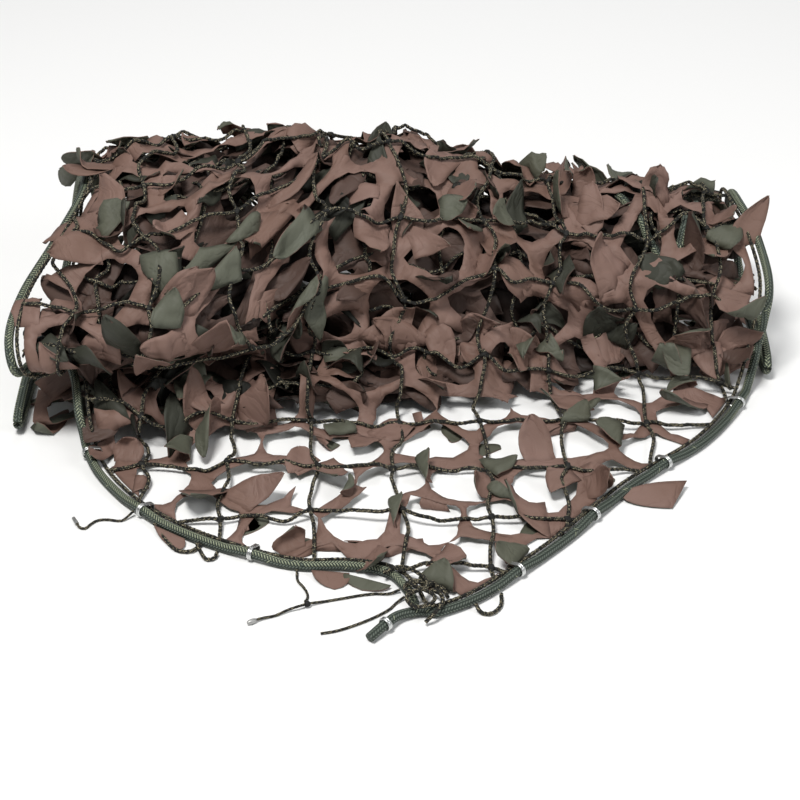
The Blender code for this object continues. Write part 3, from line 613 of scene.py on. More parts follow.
# The closed rope line moved inwards, with points a step apart.
def insetLine(distance, step):
    count = len(ropeTrack) - 1
    moved = []
    for i in range(count):
        ahead = ropeTrack[(i + 3) % count] - ropeTrack[(i - 3) % count]
        place = ropeTrack[i] + Vector((-ahead.y, ahead.x)).normalized() * distance
        if np.hypot(*(trackPoints[::2] - place[:]).T).min() > distance * 0.97:
            moved.append(place)
    return evenly(moved + moved[:1], step)[:-1]


# Whether each place lies inside a closed outline.
def insideOf(places, outline):
    corners = np.array([p[:2] for p in outline])
    within = np.zeros(len(places), dtype=bool)
    for a, b in zip(corners, np.roll(corners, -1, axis=0)):
        if a[1] == b[1]:
            continue
        crosses = (a[1] > places[:, 1]) != (b[1] > places[:, 1])
        within ^= crosses & (places[:, 0] < a[0] + (places[:, 1] - a[1]) / (b[1] - a[1]) * (b[0] - a[0]))
    return within


stage("sheet folded")


# The edge rope's way.

rope = {
    "radius": 0.0050,
    "slim": 0.0006,            # the braid stays this much inside the solid's radius
    "clear": 0.0008,           # a flap lies this far off the solid's radius
    "lift": 0.0028,            # raised under each clip, over this length to each side
    "liftZone": 0.030,
    "endGap": 0.0012,          # between the rope's last turn and its free end
    "step": 0.0022,
    "sides": 18,
    "end": ((-0.026, -0.214, 0.0054), (-0.012, -0.198, 0.0082), (0.000, -0.184, 0.0068)),
    "turn": ((0.226, 0.622), (0.238, 0.598), (0.247, 0.578), (0.256, 0.556), (0.268, 0.536), (0.281, 0.544),
             (0.288, 0.566), (0.295, 0.592), (0.308, 0.616)),
    "turnDepth": 0.0075,
    "leftClips": (-0.132, -0.238, -0.2992),
    "rightClips": (0.107, 0.179, 0.255, 0.338),
}


# Where the clips sit, as places in the rope's line.
def clipPlaces():
    places = []
    for spots, right in ((rope["leftClips"], False), (rope["rightClips"], True)):
        near = [i for i, p in enumerate(ropeTrack) if p.y < 0.42 and (i < len(ropeTrack) / 2) == right]
        places += [min(near, key=lambda i: abs(ropeTrack[i].x - spot)) for spot in spots]
    return sorted(places)


clipSpots = clipPlaces()


# The rope's middle in space from its free end, and the middle and direction under each ring.
def ropePath():
    clips = [ropeTrack[i] for i in clipSpots]
    middle = [Vector(p) for p in carry(trackPoints, 0.0, ripple=False)]
    for place, point in zip(ropeTrack, middle):
        near = min((place - clip).length for clip in clips)
        lift = rope["lift"] * max(0.0, 1 - (near / rope["liftZone"]) ** 2) ** 2
        point.z = max(point.z, rope["radius"] + lift)
    end = [Vector((x, y - sheet["shiftY"], z)) for x, y, z in rope["end"]]
    tail = smoothLine(end + [middle[2], middle[4], middle[6]], 0.004)
    last = next(i for i in range(len(middle) - 1, 0, -1)
                if min((middle[i] - p).length for p in tail) > 2 * rope["radius"] + rope["endGap"])
    fine = evenly(tail[:-1] + middle[6:last + 1], 0.001)
    seats = []
    for spot in [end[1]] + [middle[i] for i in clipSpots]:
        k = min(range(len(fine)), key=lambda k: (fine[k] - spot).length)
        seats.append((fine[k], (fine[k + 5] - fine[k - 5]).normalized()))
    return fine, seats


ropeFine, ringSeats = ropePath()
ropeTree = KDTree(len(ropeFine))
for number, point in enumerate(ropeFine):
    ropeTree.insert(point, number)
ropeTree.balance()


# Points of a flap, moved off the rope where they would lie in it.
def clearOfRope(points):
    wide = rope["radius"] + rope["clear"]
    moved = []
    for point in points:
        place = Vector(point)
        middle, number, apart = ropeTree.find(place)
        if apart < wide:
            away = place - middle + Vector((0, 0, 0.0015))
            place = middle + away.normalized() * wide
        moved.append(place)
    return np.array([p[:] for p in moved])


# Leaf-cut cloth.

cloth = {
    "inset": 0.0150,           # from the rope to the edge of the cloth
    "innerInset": 0.0270,      # and of the two inner cloths
    "innerFoot": 0.020,        # where these begin behind the heap's foot
    "pitchU": 0.070,
    "pitchV": 0.060,
    "jitter": 0.010,
    "warp": 0.014,             # how far the rows of cuts wander
    "stripOpen": (0.0034, 0.0070),     # half widths of the cloth left between openings
    "stripHeap": (0.0048, 0.0095),
    "joined": 0.07,            # share of neighbours with no strip between them
    "overlap": 0.012,          # and how far their openings run into each other
    "neighbour": 0.125,        # openings this near shape each other
    "near": 0.110,             # and these may cut into the cloth that carries each other's flaps
    "probe": 0.005,            # width of firm cloth that a flap needs beside its hinge
    "spacing": 0.55,           # least gap of lattice points to an edge, in steps
    "nearest": 0.004,          # least way from an opening's middle to the strip beside it
    "within": 0.04,            # share of an opening's corners that must lie on the cloth
    "corners": 26,
    "round": 8.0,              # low is round, high shows the corners
    "ragged": 0.045,
    "uneven": 0.11,            # how unlike a circle the openings of the open corner are
    "largest": 0.046,          # longest way from an opening's middle to its edge
    "thick": 0.0007,
    "low": 0.0007,             # nothing of the cloth lies lower than this
    "tipLow": 0.0008,          # nor do the tips that come out from under the rope
    "faceColour": (0.182, 0.112, 0.091),
    "backColour": (0.090, 0.094, 0.070),
    "windows": ((0.252, 0.566), (0.291, 0.570)),   # openings over the turn of rope in the right lobe
}
# The cloths, outermost first. Of each: seed and shift of its cuts, their size, the share of cells left
# whole, its depth below the outer cloth, how far along the sheet it goes, the steps of its mesh outside
# and inside the heap, its shade, its flat size and what it rests on.
layers = (
    {"name": "garnish_outer", "seed": 11, "shift": 0.0, "grow": 1.0, "whole": 0.0, "depth": 0.0,
     "limit": 1.50, "steps": (0.0062, 0.0125), "shade": 1.0, "flat": (0.75, 1.50), "on": "floor"},
    {"name": "garnish_under", "seed": 29, "shift": 0.37, "grow": 0.94, "whole": 0.04, "depth": 0.017,
     "limit": 0.92, "steps": (0.0080, 0.0140), "shade": 0.42, "flat": (0.74, 0.62), "on": "garnish_outer"},
    {"name": "garnish_deep", "seed": 43, "shift": 0.71, "grow": 0.85, "whole": 0.12, "depth": 0.036,
     "limit": 0.88, "steps": (0.0120, 0.0160), "shade": 0.12, "flat": (0.74, 0.60), "on": "garnish_under"},
)
flapKinds = {                  # fold at the hinge, then curl towards the tip, in degrees; cupping
    "over": (162, 10, 0.3),
    "lying": (176, -10, 0.15),
    "standing": (62, 55, 0.35),
    "raised": (26, 42, 0.35),
    "flat": (11, -6, 0.25),
    "hanging": (-28, -40, 0.4),
    "under": (-165, 0, 0.3),
}
flapShares = {
    "open": (("over", 0.16), ("lying", 0.12), ("raised", 0.18), ("flat", 0.20), ("under", 0.24),
             ("standing", 0.05)),
    "heap": (("over", 0.13), ("lying", 0.09), ("standing", 0.08), ("raised", 0.22), ("flat", 0.26),
             ("hanging", 0.16), ("under", 0.03)),
}
flapShape = {                  # in shares of the way from hinge to middle of the opening
    "grid": (10, 7),           # rows and columns of points
    "setBack": 0.0035,         # how far the hinge lies in the cloth behind the cut, metres
    "off": 0.0009,             # a folded flap lies this far off the cloth, metres
    "slimmest": 0.0012,        # least half width, metres
    "swing": (-0.35, 0.35),    # turn of the flap on its hinge, radians
    "tight": (0.004, 0.009),   # radius of the fold at the hinge, metres
    "twist": (-0.5, 0.5),
    "kinkAt": (0.40, 0.75),    # where along the flap a cross crease lies
    "length": {"open": (0.70, 1.45), "heap": (1.20, 2.20)},
    "longest": 0.054,          # metres
    "widest": 0.017,           # half width, metres
    "neck": (0.35, 0.75),
    "wide": (0.50, 0.85),
    "lean": (-0.9, 0.9),
    "uneven": (-0.4, 0.4),
    "blunt": (1.0, 2.6),
    "point": (0.5, 0.95),
    "more": {"open": (0.50, 0.20), "heap": (0.85, 0.55)},   # chances of further flaps on one opening
    "crumple": 0.0012,
    "overRope": 9,             # a flap with more of its points in the rope than this is left out
    "kink": (20, 65),          # degrees of a cross crease
    "kinked": 0.5,             # share of flaps that have one
    "keel": (-0.20, 0.30),     # height of a crease along the flap
}


# Sheet places with the straight rows bent a little, so that no two cells match.
def warped(places):
    rowsU = ((0.210, 0.330, 0.4, 1.0, 0.6), (0.130, 0.170, -0.6, 2.7, 0.4))
    rowsV = ((0.260, 0.190, 0.8, 4.2, 0.6), (0.150, 0.210, -0.5, 0.4, 0.4))
    moved = np.array(places, dtype=float)
    shift = np.stack((wavy(moved, rowsU), wavy(moved, rowsV)), axis=1)
    return moved + cloth["warp"] * shift


# Middles of the openings: staggered rows that wander.
def cutCentres(draw, shift):
    centres = []
    rows = int(sheet["end"] / cloth["pitchV"]) + 3
    across = int(2 * sheet["half"] / cloth["pitchU"]) + 4
    for row in range(rows):
        for column in range(across):
            u = (column - across / 2 + 0.5 * (row % 2) + shift) * cloth["pitchU"]
            v = (row - 0.4 + shift) * cloth["pitchV"]
            centres.append([place + draw.uniform(-1, 1) * cloth["jitter"] for place in (u, v)])
    centres = warped(centres)
    for window in cloth["windows"]:
        centres[np.argmin(np.hypot(*(centres - window).T))] = window
    return centres


# The openings of one cloth, with strips of cloth between neighbours.
def cutOpenings(outline, layer):
    centres = cutCentres(random.Random(layer["seed"]), layer["shift"])
    heaps = heapShare(centres) > 0.5
    angles = np.linspace(0, 2 * math.pi, cloth["corners"], endpoint=False)
    found = []
    for k, centre in enumerate(centres):
        draw = random.Random(layer["seed"] * 1009 + k)
        away = centres - centre
        apart = np.hypot(*away.T)
        width = draw.uniform(*cloth["stripHeap" if heaps[k] else "stripOpen"])
        pull = np.full(len(angles), 1e-9)
        for other in np.nonzero((apart > 0) & (apart < cloth["neighbour"]))[0]:
            joined = (k * 7919 + int(other) * (104729 + k)) % 1000 < 1000 * cloth["joined"]
            half = apart[other] / 2 + (cloth["overlap"] if joined else -width)
            toward = math.atan2(away[other][1], away[other][0])
            pull += (np.maximum(np.cos(angles - toward), 0) / max(half, cloth["nearest"])) ** cloth["round"]
        reach = layer["grow"] * pull ** (-1 / cloth["round"])
        reach *= 1 + 0.05 * np.sin(3 * angles + draw.uniform(0, 6.28))
        if not heaps[k]:
            reach *= 1 + cloth["uneven"] * np.sin(2 * angles + draw.uniform(0, 6.28))
        reach *= [1 + draw.uniform(-1, 1) * cloth["ragged"] for angle in angles]
        reach = np.minimum(reach, cloth["largest"])
        corners = centre + np.stack((reach * np.cos(angles), reach * np.sin(angles)), axis=1)
        if draw.random() >= layer["whole"] and insideOf(corners, outline).mean() > cloth["within"]:
            found.append({"centre": centre, "outline": corners, "heap": bool(heaps[k]),
                          "seed": layer["seed"] * 2003 + k})
    return found


# Points of a triangular lattice over the cloth that is left between the openings.
def latticePoints(outline, openings, layer):
    kept = []
    for step, inner in zip(layer["steps"], (False, True)):
        rows = int(sheet["end"] / (step * 0.866)) + 1
        across = int(2 * sheet["half"] / step) + 1
        j, i = np.meshgrid(np.arange(rows), np.arange(across), indexing="ij")
        places = np.stack(((i + 0.5 * (j % 2)) * step - sheet["half"], j * step * 0.866), axis=-1)
        places = places.reshape(-1, 2)
        hidden = places[:, 1] > markAt("back", places[:, 0]) + 0.02
        places = places[(hidden == inner) & (places[:, 1] < layer["limit"])]
        places = places[insideOf(places, outline)]
        least = step * cloth["spacing"]
        free = nearest(places, outline) > least
        for opening in openings:
            index = np.nonzero(nearest(places, [opening["centre"]]) < 0.05)[0]
            close = nearest(places[index], opening["outline"]) < least
            free[index] &= ~(insideOf(places[index], opening["outline"]) | close)
        kept.append(places[free])
    return np.vstack(kept)


# Places and triangles of the cloth that is left between the openings.
def webMesh(outline, openings, extra):
    points = [Vector(p[:2]) for p in outline]
    faces = [list(range(len(points)))]
    for opening in openings:
        faces.append(list(range(len(points), len(points) + len(opening["outline"]))))
        points += [Vector(p) for p in opening["outline"]]
    points += [Vector(p) for p in extra]
    result = delaunay_2d_cdt(points, [], faces, 1, 1e-6, True)
    triangles = [t for t, owner in zip(result[2], result[5]) if list(owner) == [0]]
    used = sorted({k for t in triangles for k in t})
    index = {k: n for n, k in enumerate(used)}
    flat = np.array([result[0][k][:] for k in used])
    out = []
    for t in triangles:
        a, b, c = (index[k] for k in t)
        one, two = flat[b] - flat[a], flat[c] - flat[a]
        out.append((a, b, c) if one[0] * two[1] - one[1] * two[0] > 0 else (a, c, b))
    return flat, out


# For each opening, the corners of its outline that lie on cloth and can carry a flap.
def findFirmEdges(openings, outline):
    for opening in openings:
        outward = opening["outline"] - opening["centre"]
        outward = outward / np.linalg.norm(outward, axis=1, keepdims=True)
        probe = opening["outline"] + outward * cloth["probe"]
        firm = insideOf(probe, outline)
        for other in openings:
            if other is not opening and np.hypot(*(opening["centre"] - other["centre"])) < cloth["near"]:
                firm &= ~insideOf(probe, other["outline"])
        opening["firm"] = [int(k) for k in np.nonzero(firm)[0]]


# A kind of flap for this part of the sheet, or none.
def chooseKind(draw, where):
    pick = draw.random()
    for kind, share in flapShares[where]:
        if pick < share:
            return kind
        pick -= share
    return None


# Points, flat places and quads of a leaf flap, hinged on the edge of its opening.
def flapPatch(opening, kind, draw, hang, where):
    rows, columns = flapShape["grid"]
    fold, curl, cup = flapKinds[kind]
    fold = math.radians(fold * draw.uniform(0.85, 1.1))
    curl = math.radians(curl * draw.uniform(0.5, 1.5))
    hinge = opening["outline"][draw.choice(opening["firm"])]
    inward = opening["centre"] - hinge
    reach = np.hypot(*inward)
    inward = inward / reach
    swing = draw.uniform(*flapShape["swing"])
    inward = np.array((inward[0] * math.cos(swing) - inward[1] * math.sin(swing),
                       inward[0] * math.sin(swing) + inward[1] * math.cos(swing)))
    aside = np.array((inward[1], -inward[0]))
    hinge = hinge - inward * flapShape["setBack"]
    length = min(draw.uniform(*flapShape["length"][where]) * reach, flapShape["longest"])
    neck, wide, lean = (draw.uniform(*flapShape[key]) * reach for key in ("neck", "wide", "lean"))
    wide = min(wide, flapShape["widest"])
    uneven, blunt, point = (draw.uniform(*flapShape[key]) for key in ("uneven", "blunt", "point"))
    tight = draw.uniform(*flapShape["tight"])
    twist = draw.uniform(*flapShape["twist"]) * cup
    keel = draw.uniform(*flapShape["keel"])
    kink = math.radians(draw.uniform(*flapShape["kink"])) * draw.choice((-1, 1))
    kinkAt = draw.uniform(*flapShape["kinkAt"])
    if draw.random() > flapShape["kinked"]:
        kink = 0.0
    t = np.sin(np.linspace(0, math.pi / 2, rows))
    fine = np.linspace(0, 1, 60)
    pace = length / (len(fine) - 1)
    bend = fold * between(fine * length, 0.0, 2.2 * tight) + curl * fine ** 1.5
    bend += kink * between(fine, kinkAt - 0.05, kinkAt + 0.05)
    bends = (bend[1:] + bend[:-1]) / 2
    runX = np.concatenate(([0], np.cumsum(np.cos(bends)))) * pace
    runZ = np.concatenate(([0], np.cumsum(np.sin(bends)))) * pace
    rise = between(t, 0.0, 0.45)
    halfWidth = neck + (wide - neck) * rise
    halfWidth = halfWidth * np.clip(1 - (np.clip(t - 0.4, 0, 1) / 0.6) ** blunt, 0.0, 1.0) ** point
    halfWidth = np.maximum(halfWidth, flapShape["slimmest"])
    s = np.linspace(-1, 1, columns)
    places, offsets, flat = [], [], []
    base = math.copysign(flapShape["off"], fold)
    for k in range(rows):
        x = np.interp(t[k], fine, runX)
        z = np.interp(t[k], fine, runZ)
        tilt = np.interp(t[k], fine, bend)
        for side in s:
            across = side * halfWidth[k] * (1 + uneven * side) + lean * t[k] ** 2
            dip = cup * 0.10 * halfWidth[k] * (side ** 2) * t[k] + twist * side * t[k] * halfWidth[k] * 0.5
            dip += keel * halfWidth[k] * abs(side) * t[k]
            dip += flapShape["crumple"] * t[k] * math.sin(7 * side + 9 * t[k] + 40 * uneven)
            places.append(hinge + inward * (x - math.sin(tilt) * dip) + aside * across)
            offsets.append(base * min(1.0, 6 * t[k]) + z + math.cos(tilt) * dip)
            flat.append(hinge + inward * length * t[k] + aside * across)
    points = carry(np.array(places), np.array(offsets))
    drop = np.repeat(t ** 2, columns) * hang * length * max(0.0, math.sin(abs(fold)))
    points[:, 2] = np.maximum(points[:, 2] - drop, cloth["low"])
    return points, np.array(flat), gridQuads(rows, columns)


# The brown face and the grey-green back of one cloth, in its shade.
def clothMaterials(number, shade):
    made = []
    for name, key, tone in (("garnishFace", "faceColour", 0.16), ("garnishBack", "backColour", 0.14)):
        colour = [c * shade for c in cloth[key]]
        darker = [c * (1 - k * tone) for c, k in zip(colour, (1.0, 1.25, 1.6))]
        lighter = [c * (1 + k * tone) for c, k in zip(colour, (1.0, 1.15, 1.3))]
        finish, shader, add, compute = newMaterial("%s%d" % (name, number))
        place = add("ShaderNodeUVMap", uv_map="sheet").outputs["UV"]
        broad = add("ShaderNodeTexNoise", {"Vector": place, "Scale": 12.0, "Detail": 3.0})
        weave = add("ShaderNodeTexNoise", {"Vector": place, "Scale": 900.0, "Detail": 1.0})
        fold = add("ShaderNodeTexNoise", {"Vector": place, "Scale": 24.0, "Detail": 3.0, "Distortion": 1.4})
        spread = compute("MULTIPLY_ADD", broad.outputs["Fac"], 2.2, -0.6)
        tones = {"Factor": spread, "A": (*darker, 1), "B": (*lighter, 1)}
        mix = add("ShaderNodeMix", tones, data_type="RGBA")
        ridge = compute("ABSOLUTE", compute("SUBTRACT", fold.outputs["Fac"], 0.5))
        relief = compute("MULTIPLY_ADD", weave.outputs["Fac"], 0.03, compute("POWER", ridge, 0.6))
        bump = add("ShaderNodeBump", {"Strength": 0.55, "Distance": 0.0045, "Height": relief})
        feed(shader, {"Base Color": mix.outputs["Result"], "Normal": bump.outputs["Normal"],
                      "Roughness": 0.62, "Specular IOR Level": 0.28})
        made.append(finish)
    return made


# The cloth's flaps may stand this far past the solids' box, and no further.
reachBox = np.array(cadBox) + np.array(((-0.006, -0.010, -1.0), (0.010, 0.014, 0.006)))


# The flaps of one opening: a first one, and by chance a second and a third.
def openingFlaps(opening, depth):
    where = "heap" if opening["heap"] else "open"
    draw = random.Random(opening["seed"])
    inWindow = nearest(np.array(cloth["windows"]), [opening["centre"]]).min() < 0.001
    flaps = []
    if inWindow or not opening["firm"]:
        return flaps
    for chance in (1.0, *flapShape["more"][where]):
        kind = chooseKind(draw, where)
        if draw.random() > chance or kind is None:
            continue
        hang = draw.uniform(0.0, 0.5) if opening["heap"] else 0.0
        points, places, quads = flapPatch(opening, kind, draw, hang, where)
        points = points + normalAt(places) * depthAt(places, depth)[:, None]
        points[:, 2] = np.maximum(points[:, 2], cloth["low"])
        cleared = clearOfRope(points)
        moved = (np.abs(cleared - points).max(axis=1) > 1e-5).sum()
        cleared[:, 2] = np.maximum(cleared[:, 2], cloth["low"])
        within = (cleared >= reachBox[0]).all() and (cleared <= reachBox[1]).all()
        if moved <= flapShape["overRope"] and within:
            flaps.append((cleared, places, quads))
    return flaps


# One leaf-cut cloth with its flaps, and its area.
def makeCloth(number, layer):
    depth = layer["depth"]
    outline = innerOutline(layer["limit"]) if depth else insetLine(cloth["inset"], 0.006)
    openings = cutOpenings(outline, layer)
    flat, triangles = webMesh(outline, openings, latticePoints(outline, openings, layer))
    patches = [(carry(flat, depthAt(flat, depth)), flat, triangles)]
    findFirmEdges(openings, outline)
    for opening in openings:
        patches += openingFlaps(opening, depth)
    if not depth:
        patches += [edgeLeaf(*row) for row in edgeLeaves]
    faces = []
    count = 0
    for points, places, corners in patches:
        faces += [tuple(k + count for k in face) for face in corners]
        count += len(points)
    made = meshObject(layer["name"], np.vstack([patch[0] for patch in patches]), faces)
    loops = np.zeros(len(made.data.loops), dtype=np.int32)
    made.data.loops.foreach_get("vertex_index", loops)
    uv = np.vstack([patch[1] for patch in patches])[loops]
    made.data.uv_layers.new(name="sheet").data.foreach_set("uv", uv.ravel())
    for finish in clothMaterials(number, layer["shade"]):
        made.data.materials.append(finish)
    smoothShade(made)
    shell = made.modifiers.new("shell", "SOLIDIFY")
    shell.thickness = cloth["thick"]
    shell.offset = 0.0
    shell.material_offset = 1
    shell.material_offset_rim = 0
    area = sum(p.area for p in made.data.polygons)
    stage("%s: %d openings, %d faces, %.3f m2" % (layer["name"], len(openings), len(faces), area))
    return made, area


edgeLeaves = (                 # two ends of the base and the tip, as table places, and if its back shows
    ((-226, -48, 5), (-196, -68, 4), (-205, -80, 1), False),
    ((-79, -117, 5), (-45, -120, 4), (-58, -140, 1), False),
    ((-50, -120, 4), (-8, -138, 4), (-34, -141, 1), True),
    ((254, -16, 2), (271, 19, 9), (206, 3, 5), False),
)


# Points, flat places and quads of a cloth tip that comes out from under the rope.
def edgeLeaf(base, other, tip, turned):
    first, second, far = (tablePlace(*place) for place in (base, other, tip))
    rows, columns = 7, 7
    points = []
    for k in range(rows):
        t = k / (rows - 1)
        half = (second - first) / 2 * (1 - t ** 2.2) ** 0.7
        for i in range(columns):
            side = 2 * i / (columns - 1) - 1
            point = ((first + second) / 2).lerp(far, t) + half * side
            point.z += 0.0016 * math.sin(5 * side + 4 * t) * t * (1 - t)
            points.append((point.x, point.y, max(point.z, cloth["tipLow"])))
    leaf = np.array(points)
    quads = gridQuads(rows, columns)
    upward = np.cross(leaf[1] - leaf[0], leaf[columns] - leaf[0])[2] > 0
    return leaf, leaf[:, :2], [quad[::-1] for quad in quads] if upward == turned else quads


# Offset of an under layer: full on the outside of the heap, none in its tight turns.
def depthAt(places, depth):
    if not depth:
        return np.zeros(len(places))
    back = markAt("back", places[:, 0])
    share = heapShare(places) * (1 - between(places[:, 1], back - 0.06, back))
    uneven = 0.75 + 0.35 * wavy(places, creases["lumpRows"])
    return -depth * share * uneven


# Outline of an inner cloth: the heap from its foot to the far limit.
def innerOutline(limit):
    near = [p for p in insetLine(cloth["innerInset"], 0.006)
            if markAt("foot", p.x) + cloth["innerFoot"] < p.y < limit]
    rights = sorted((p for p in near if p.x > 0), key=lambda p: p.y)
    lefts = sorted((p for p in near if p.x <= 0), key=lambda p: -p.y)
    far = [Vector((u, limit)) for u in np.arange(rights[-1].x - 0.01, lefts[0].x + 0.01, -0.010)]
    close = [Vector((u, float(markAt("foot", u)) + cloth["innerFoot"]))
             for u in np.arange(lefts[-1].x + 0.01, rights[0].x - 0.01, 0.010)]
    return rights + far + lefts + close


cloths = [makeCloth(number, layer) for number, layer in enumerate(layers)]


# Geometry Nodes for cords.

# A new group with its geometry and these named inputs, its input sockets and the ways to add nodes.
def nodeGroup(name, inputs):
    tree = bpy.data.node_groups.new(name, "GeometryNodeTree")
    for socket, kind in (("Geometry", "Geometry"), *inputs):
        tree.interface.new_socket(socket, in_out="INPUT", socket_type="NodeSocket" + kind)
    tree.interface.new_socket("Geometry", in_out="OUTPUT", socket_type="NodeSocketGeometry")
    add, compute = nodeMaker(tree)
    return tree, add("NodeGroupInput").outputs, add, compute


# The end of a node tree: real geometry with the material.
def endGroup(add, shape, material):
    whole = add("GeometryNodeRealizeInstances", {"Geometry": shape})
    finish = add("GeometryNodeSetMaterial", {"Geometry": whole.outputs["Geometry"], "Material": material})
    add("NodeGroupOutput", {"Geometry": finish.outputs["Geometry"]})


# Turns edges into round cords, with their length and turn kept for the material.
def cordTree():
    tree, given, add, compute = nodeGroup("cord", (
        ("Radius", "Float"), ("Flatness", "Float"), ("Step", "Float"), ("Twist", "Float"),
        ("Bumps", "Float"), ("Sides", "Int"), ("Material", "Material")))
    line = add("GeometryNodeMeshToCurve", {"Mesh": given["Geometry"]}).outputs["Curve"]
    even = add("GeometryNodeResampleCurve", {"Curve": line, "Length": given["Step"]}, mode="LENGTH")
    length = add("GeometryNodeSplineParameter").outputs["Length"]
    along = add("GeometryNodeStoreNamedAttribute", {
        "Geometry": even.outputs["Curve"], "Name": "along", "Value": length},
        data_type="FLOAT", domain="POINT")
    angle = compute("MULTIPLY", compute("DIVIDE", length, given["Twist"]), 2 * math.pi)
    upright = add("GeometryNodeSetCurveNormal", {"Curve": along.outputs["Geometry"]}, mode="Z_UP")
    tilt = add("GeometryNodeSetCurveTilt", {"Curve": upright.outputs["Curve"], "Tilt": angle})
    wave = compute("SINE", compute("MULTIPLY", angle, 2.0))
    swell = compute("MULTIPLY_ADD", wave, given["Bumps"], 1.0)
    size = add("GeometryNodeSetCurveRadius", {"Curve": tilt.outputs["Curve"], "Radius": swell})
    ring = add("GeometryNodeCurvePrimitiveCircle", {"Resolution": given["Sides"], "Radius": given["Radius"]})
    where = add("GeometryNodeInputPosition").outputs["Position"]
    unit = add("ShaderNodeVectorMath", {0: where}, operation="NORMALIZE").outputs["Vector"]
    around = add("GeometryNodeStoreNamedAttribute", {
        "Geometry": ring.outputs["Curve"], "Name": "around", "Value": unit},
        data_type="FLOAT_VECTOR", domain="POINT")
    flat = add("ShaderNodeCombineXYZ", {"X": 1.0, "Y": given["Flatness"], "Z": 1.0}).outputs["Vector"]
    squash = add("GeometryNodeTransform", {"Geometry": around.outputs["Geometry"], "Scale": flat})
    tube = add("GeometryNodeCurveToMesh", {
        "Curve": size.outputs["Curve"], "Profile Curve": squash.outputs["Geometry"], "Fill Caps": True})
    smooth = add("GeometryNodeSetShadeSmooth", {"Geometry": tube.outputs["Mesh"]})
    endGroup(add, smooth.outputs["Geometry"], given["Material"])
    return tree


# The object after a node tree with the given named inputs, as a plain mesh.
def grown(made, tree, name, values):
    modifier = made.modifiers.new("grow", "NODES")
    modifier.node_group = tree
    for item in tree.interface.items_tree:
        if item.in_out == "INPUT" and item.name in values:
            modifier[item.identifier] = values[item.name]
    return frozen(made, name)


# Edges along several lines in space.
def wireObject(name, lines):
    vertices, edges = [], []
    for line in lines:
        first = len(vertices)
        vertices += list(line)
        edges += [(k, k + 1) for k in range(first, len(vertices) - 1)]
    return meshObject(name, vertices, [], edges)


# Dark braid with pale flecks, by the cord's own length and turn, and a pale row where look asks for one.
def cordMaterial(name, look):
    finish, shader, add, compute = newMaterial(name)
    along = add("ShaderNodeAttribute", attribute_name="along").outputs["Fac"]
    around = add("ShaderNodeAttribute", attribute_name="around").outputs["Vector"]
    parts = add("ShaderNodeSeparateXYZ", {"Vector": around}).outputs
    turn = compute("ADD", compute("ARCTAN2", parts["Y"], parts["X"]), look["rowTurn"])
    column = compute("MULTIPLY", turn, look["columns"] / (2 * math.pi))
    index = compute("FLOOR", column)
    across = compute("SUBTRACT", compute("FRACT", column), 0.5)
    odd = compute("MODULO", compute("ADD", index, 64.0), 2.0)
    lean = compute("MULTIPLY", across, compute("MULTIPLY_ADD", odd, 2.0, -1.0))
    phase = compute("ADD", compute("DIVIDE", along, look["pitch"]), compute("MULTIPLY", lean, look["slant"]))
    stitch = compute("MULTIPLY_ADD", odd, 0.5, phase)
    hump = compute("SINE", compute("MULTIPLY", compute("FRACT", stitch), math.pi))
    ridge = compute("COSINE", compute("MULTIPLY", across, math.pi))
    height = compute("MULTIPLY", hump, ridge)
    seen = compute("GREATER_THAN", hump, 1 - look["share"])
    cell = add("ShaderNodeCombineXYZ", {"X": compute("FLOOR", stitch), "Y": index}).outputs["Vector"]
    chance = add("ShaderNodeTexWhiteNoise", {"Vector": cell}, noise_dimensions="2D").outputs["Value"]
    upper = compute("GREATER_THAN", compute("ABSOLUTE", compute("COSINE", turn)), look["row"])
    inRow = compute("MULTIPLY", upper, compute("GREATER_THAN", along, look["rowFrom"]))
    likely = compute("MULTIPLY_ADD", inRow, look["rowChance"] - look["chance"], look["chance"])
    fleck = compute("MULTIPLY", seen, compute("LESS_THAN", chance, likely))
    strand = add("ShaderNodeMix", {
        "Factor": compute("POWER", height, 1.5), "A": (*look["dark"], 1), "B": (*look["strand"], 1)},
        data_type="RGBA")
    mix = add("ShaderNodeMix", {
        "Factor": compute("MULTIPLY", fleck, look["strength"]), "A": strand.outputs["Result"],
        "B": (*look["pale"], 1)}, data_type="RGBA")
    bump = add("ShaderNodeBump", {"Strength": 0.8, "Distance": look["depth"], "Height": height})
    feed(shader, {"Base Color": mix.outputs["Result"], "Normal": bump.outputs["Normal"],
                  "Roughness": look["roughness"], "Specular IOR Level": 0.35})
    return finish


# Support net.

net = {
    "seed": 5,
    "pitch": 0.080,
    "radius": 0.00210,
    "flatness": 0.82,
    "step": 0.0026,
    "twist": 0.011,
    "sides": 7,
    "lift": 0.0026,            # middle of a cord above the cloth
    "low": 0.0024,             # and its least height above the floor
    "liftHeap": 0.0030,        # and this much more on the heap, over the flaps
    "spans": 0.4,              # share of a dip in the cloth that a cord spans
    "knotLow": 0.0045,         # least height of a knot's middle
    "borderInset": 0.0096,
    "borderLift": 0.0034,
    "strayOpen": 0.007,        # how far the joints wander
    "strayHeap": 0.015,
    "bowOpen": 0.006,          # how far a cord bows between joints
    "bowHeap": 0.013,
    "knot": (0.0040, 0.0030, 0.0026),
    "limit": 1.02,             # how far along the sheet the outer net is made
    "shortest": 6,             # a cord of no more points than this is left out
    "underLimit": 0.95,        # the net seen below it: its limit, shortest cord, shift in meshes and depth
    "underShortest": 8,
    "underShift": 0.45,
    "underDepth": 0.016,
    "underDrop": 0.003,
}
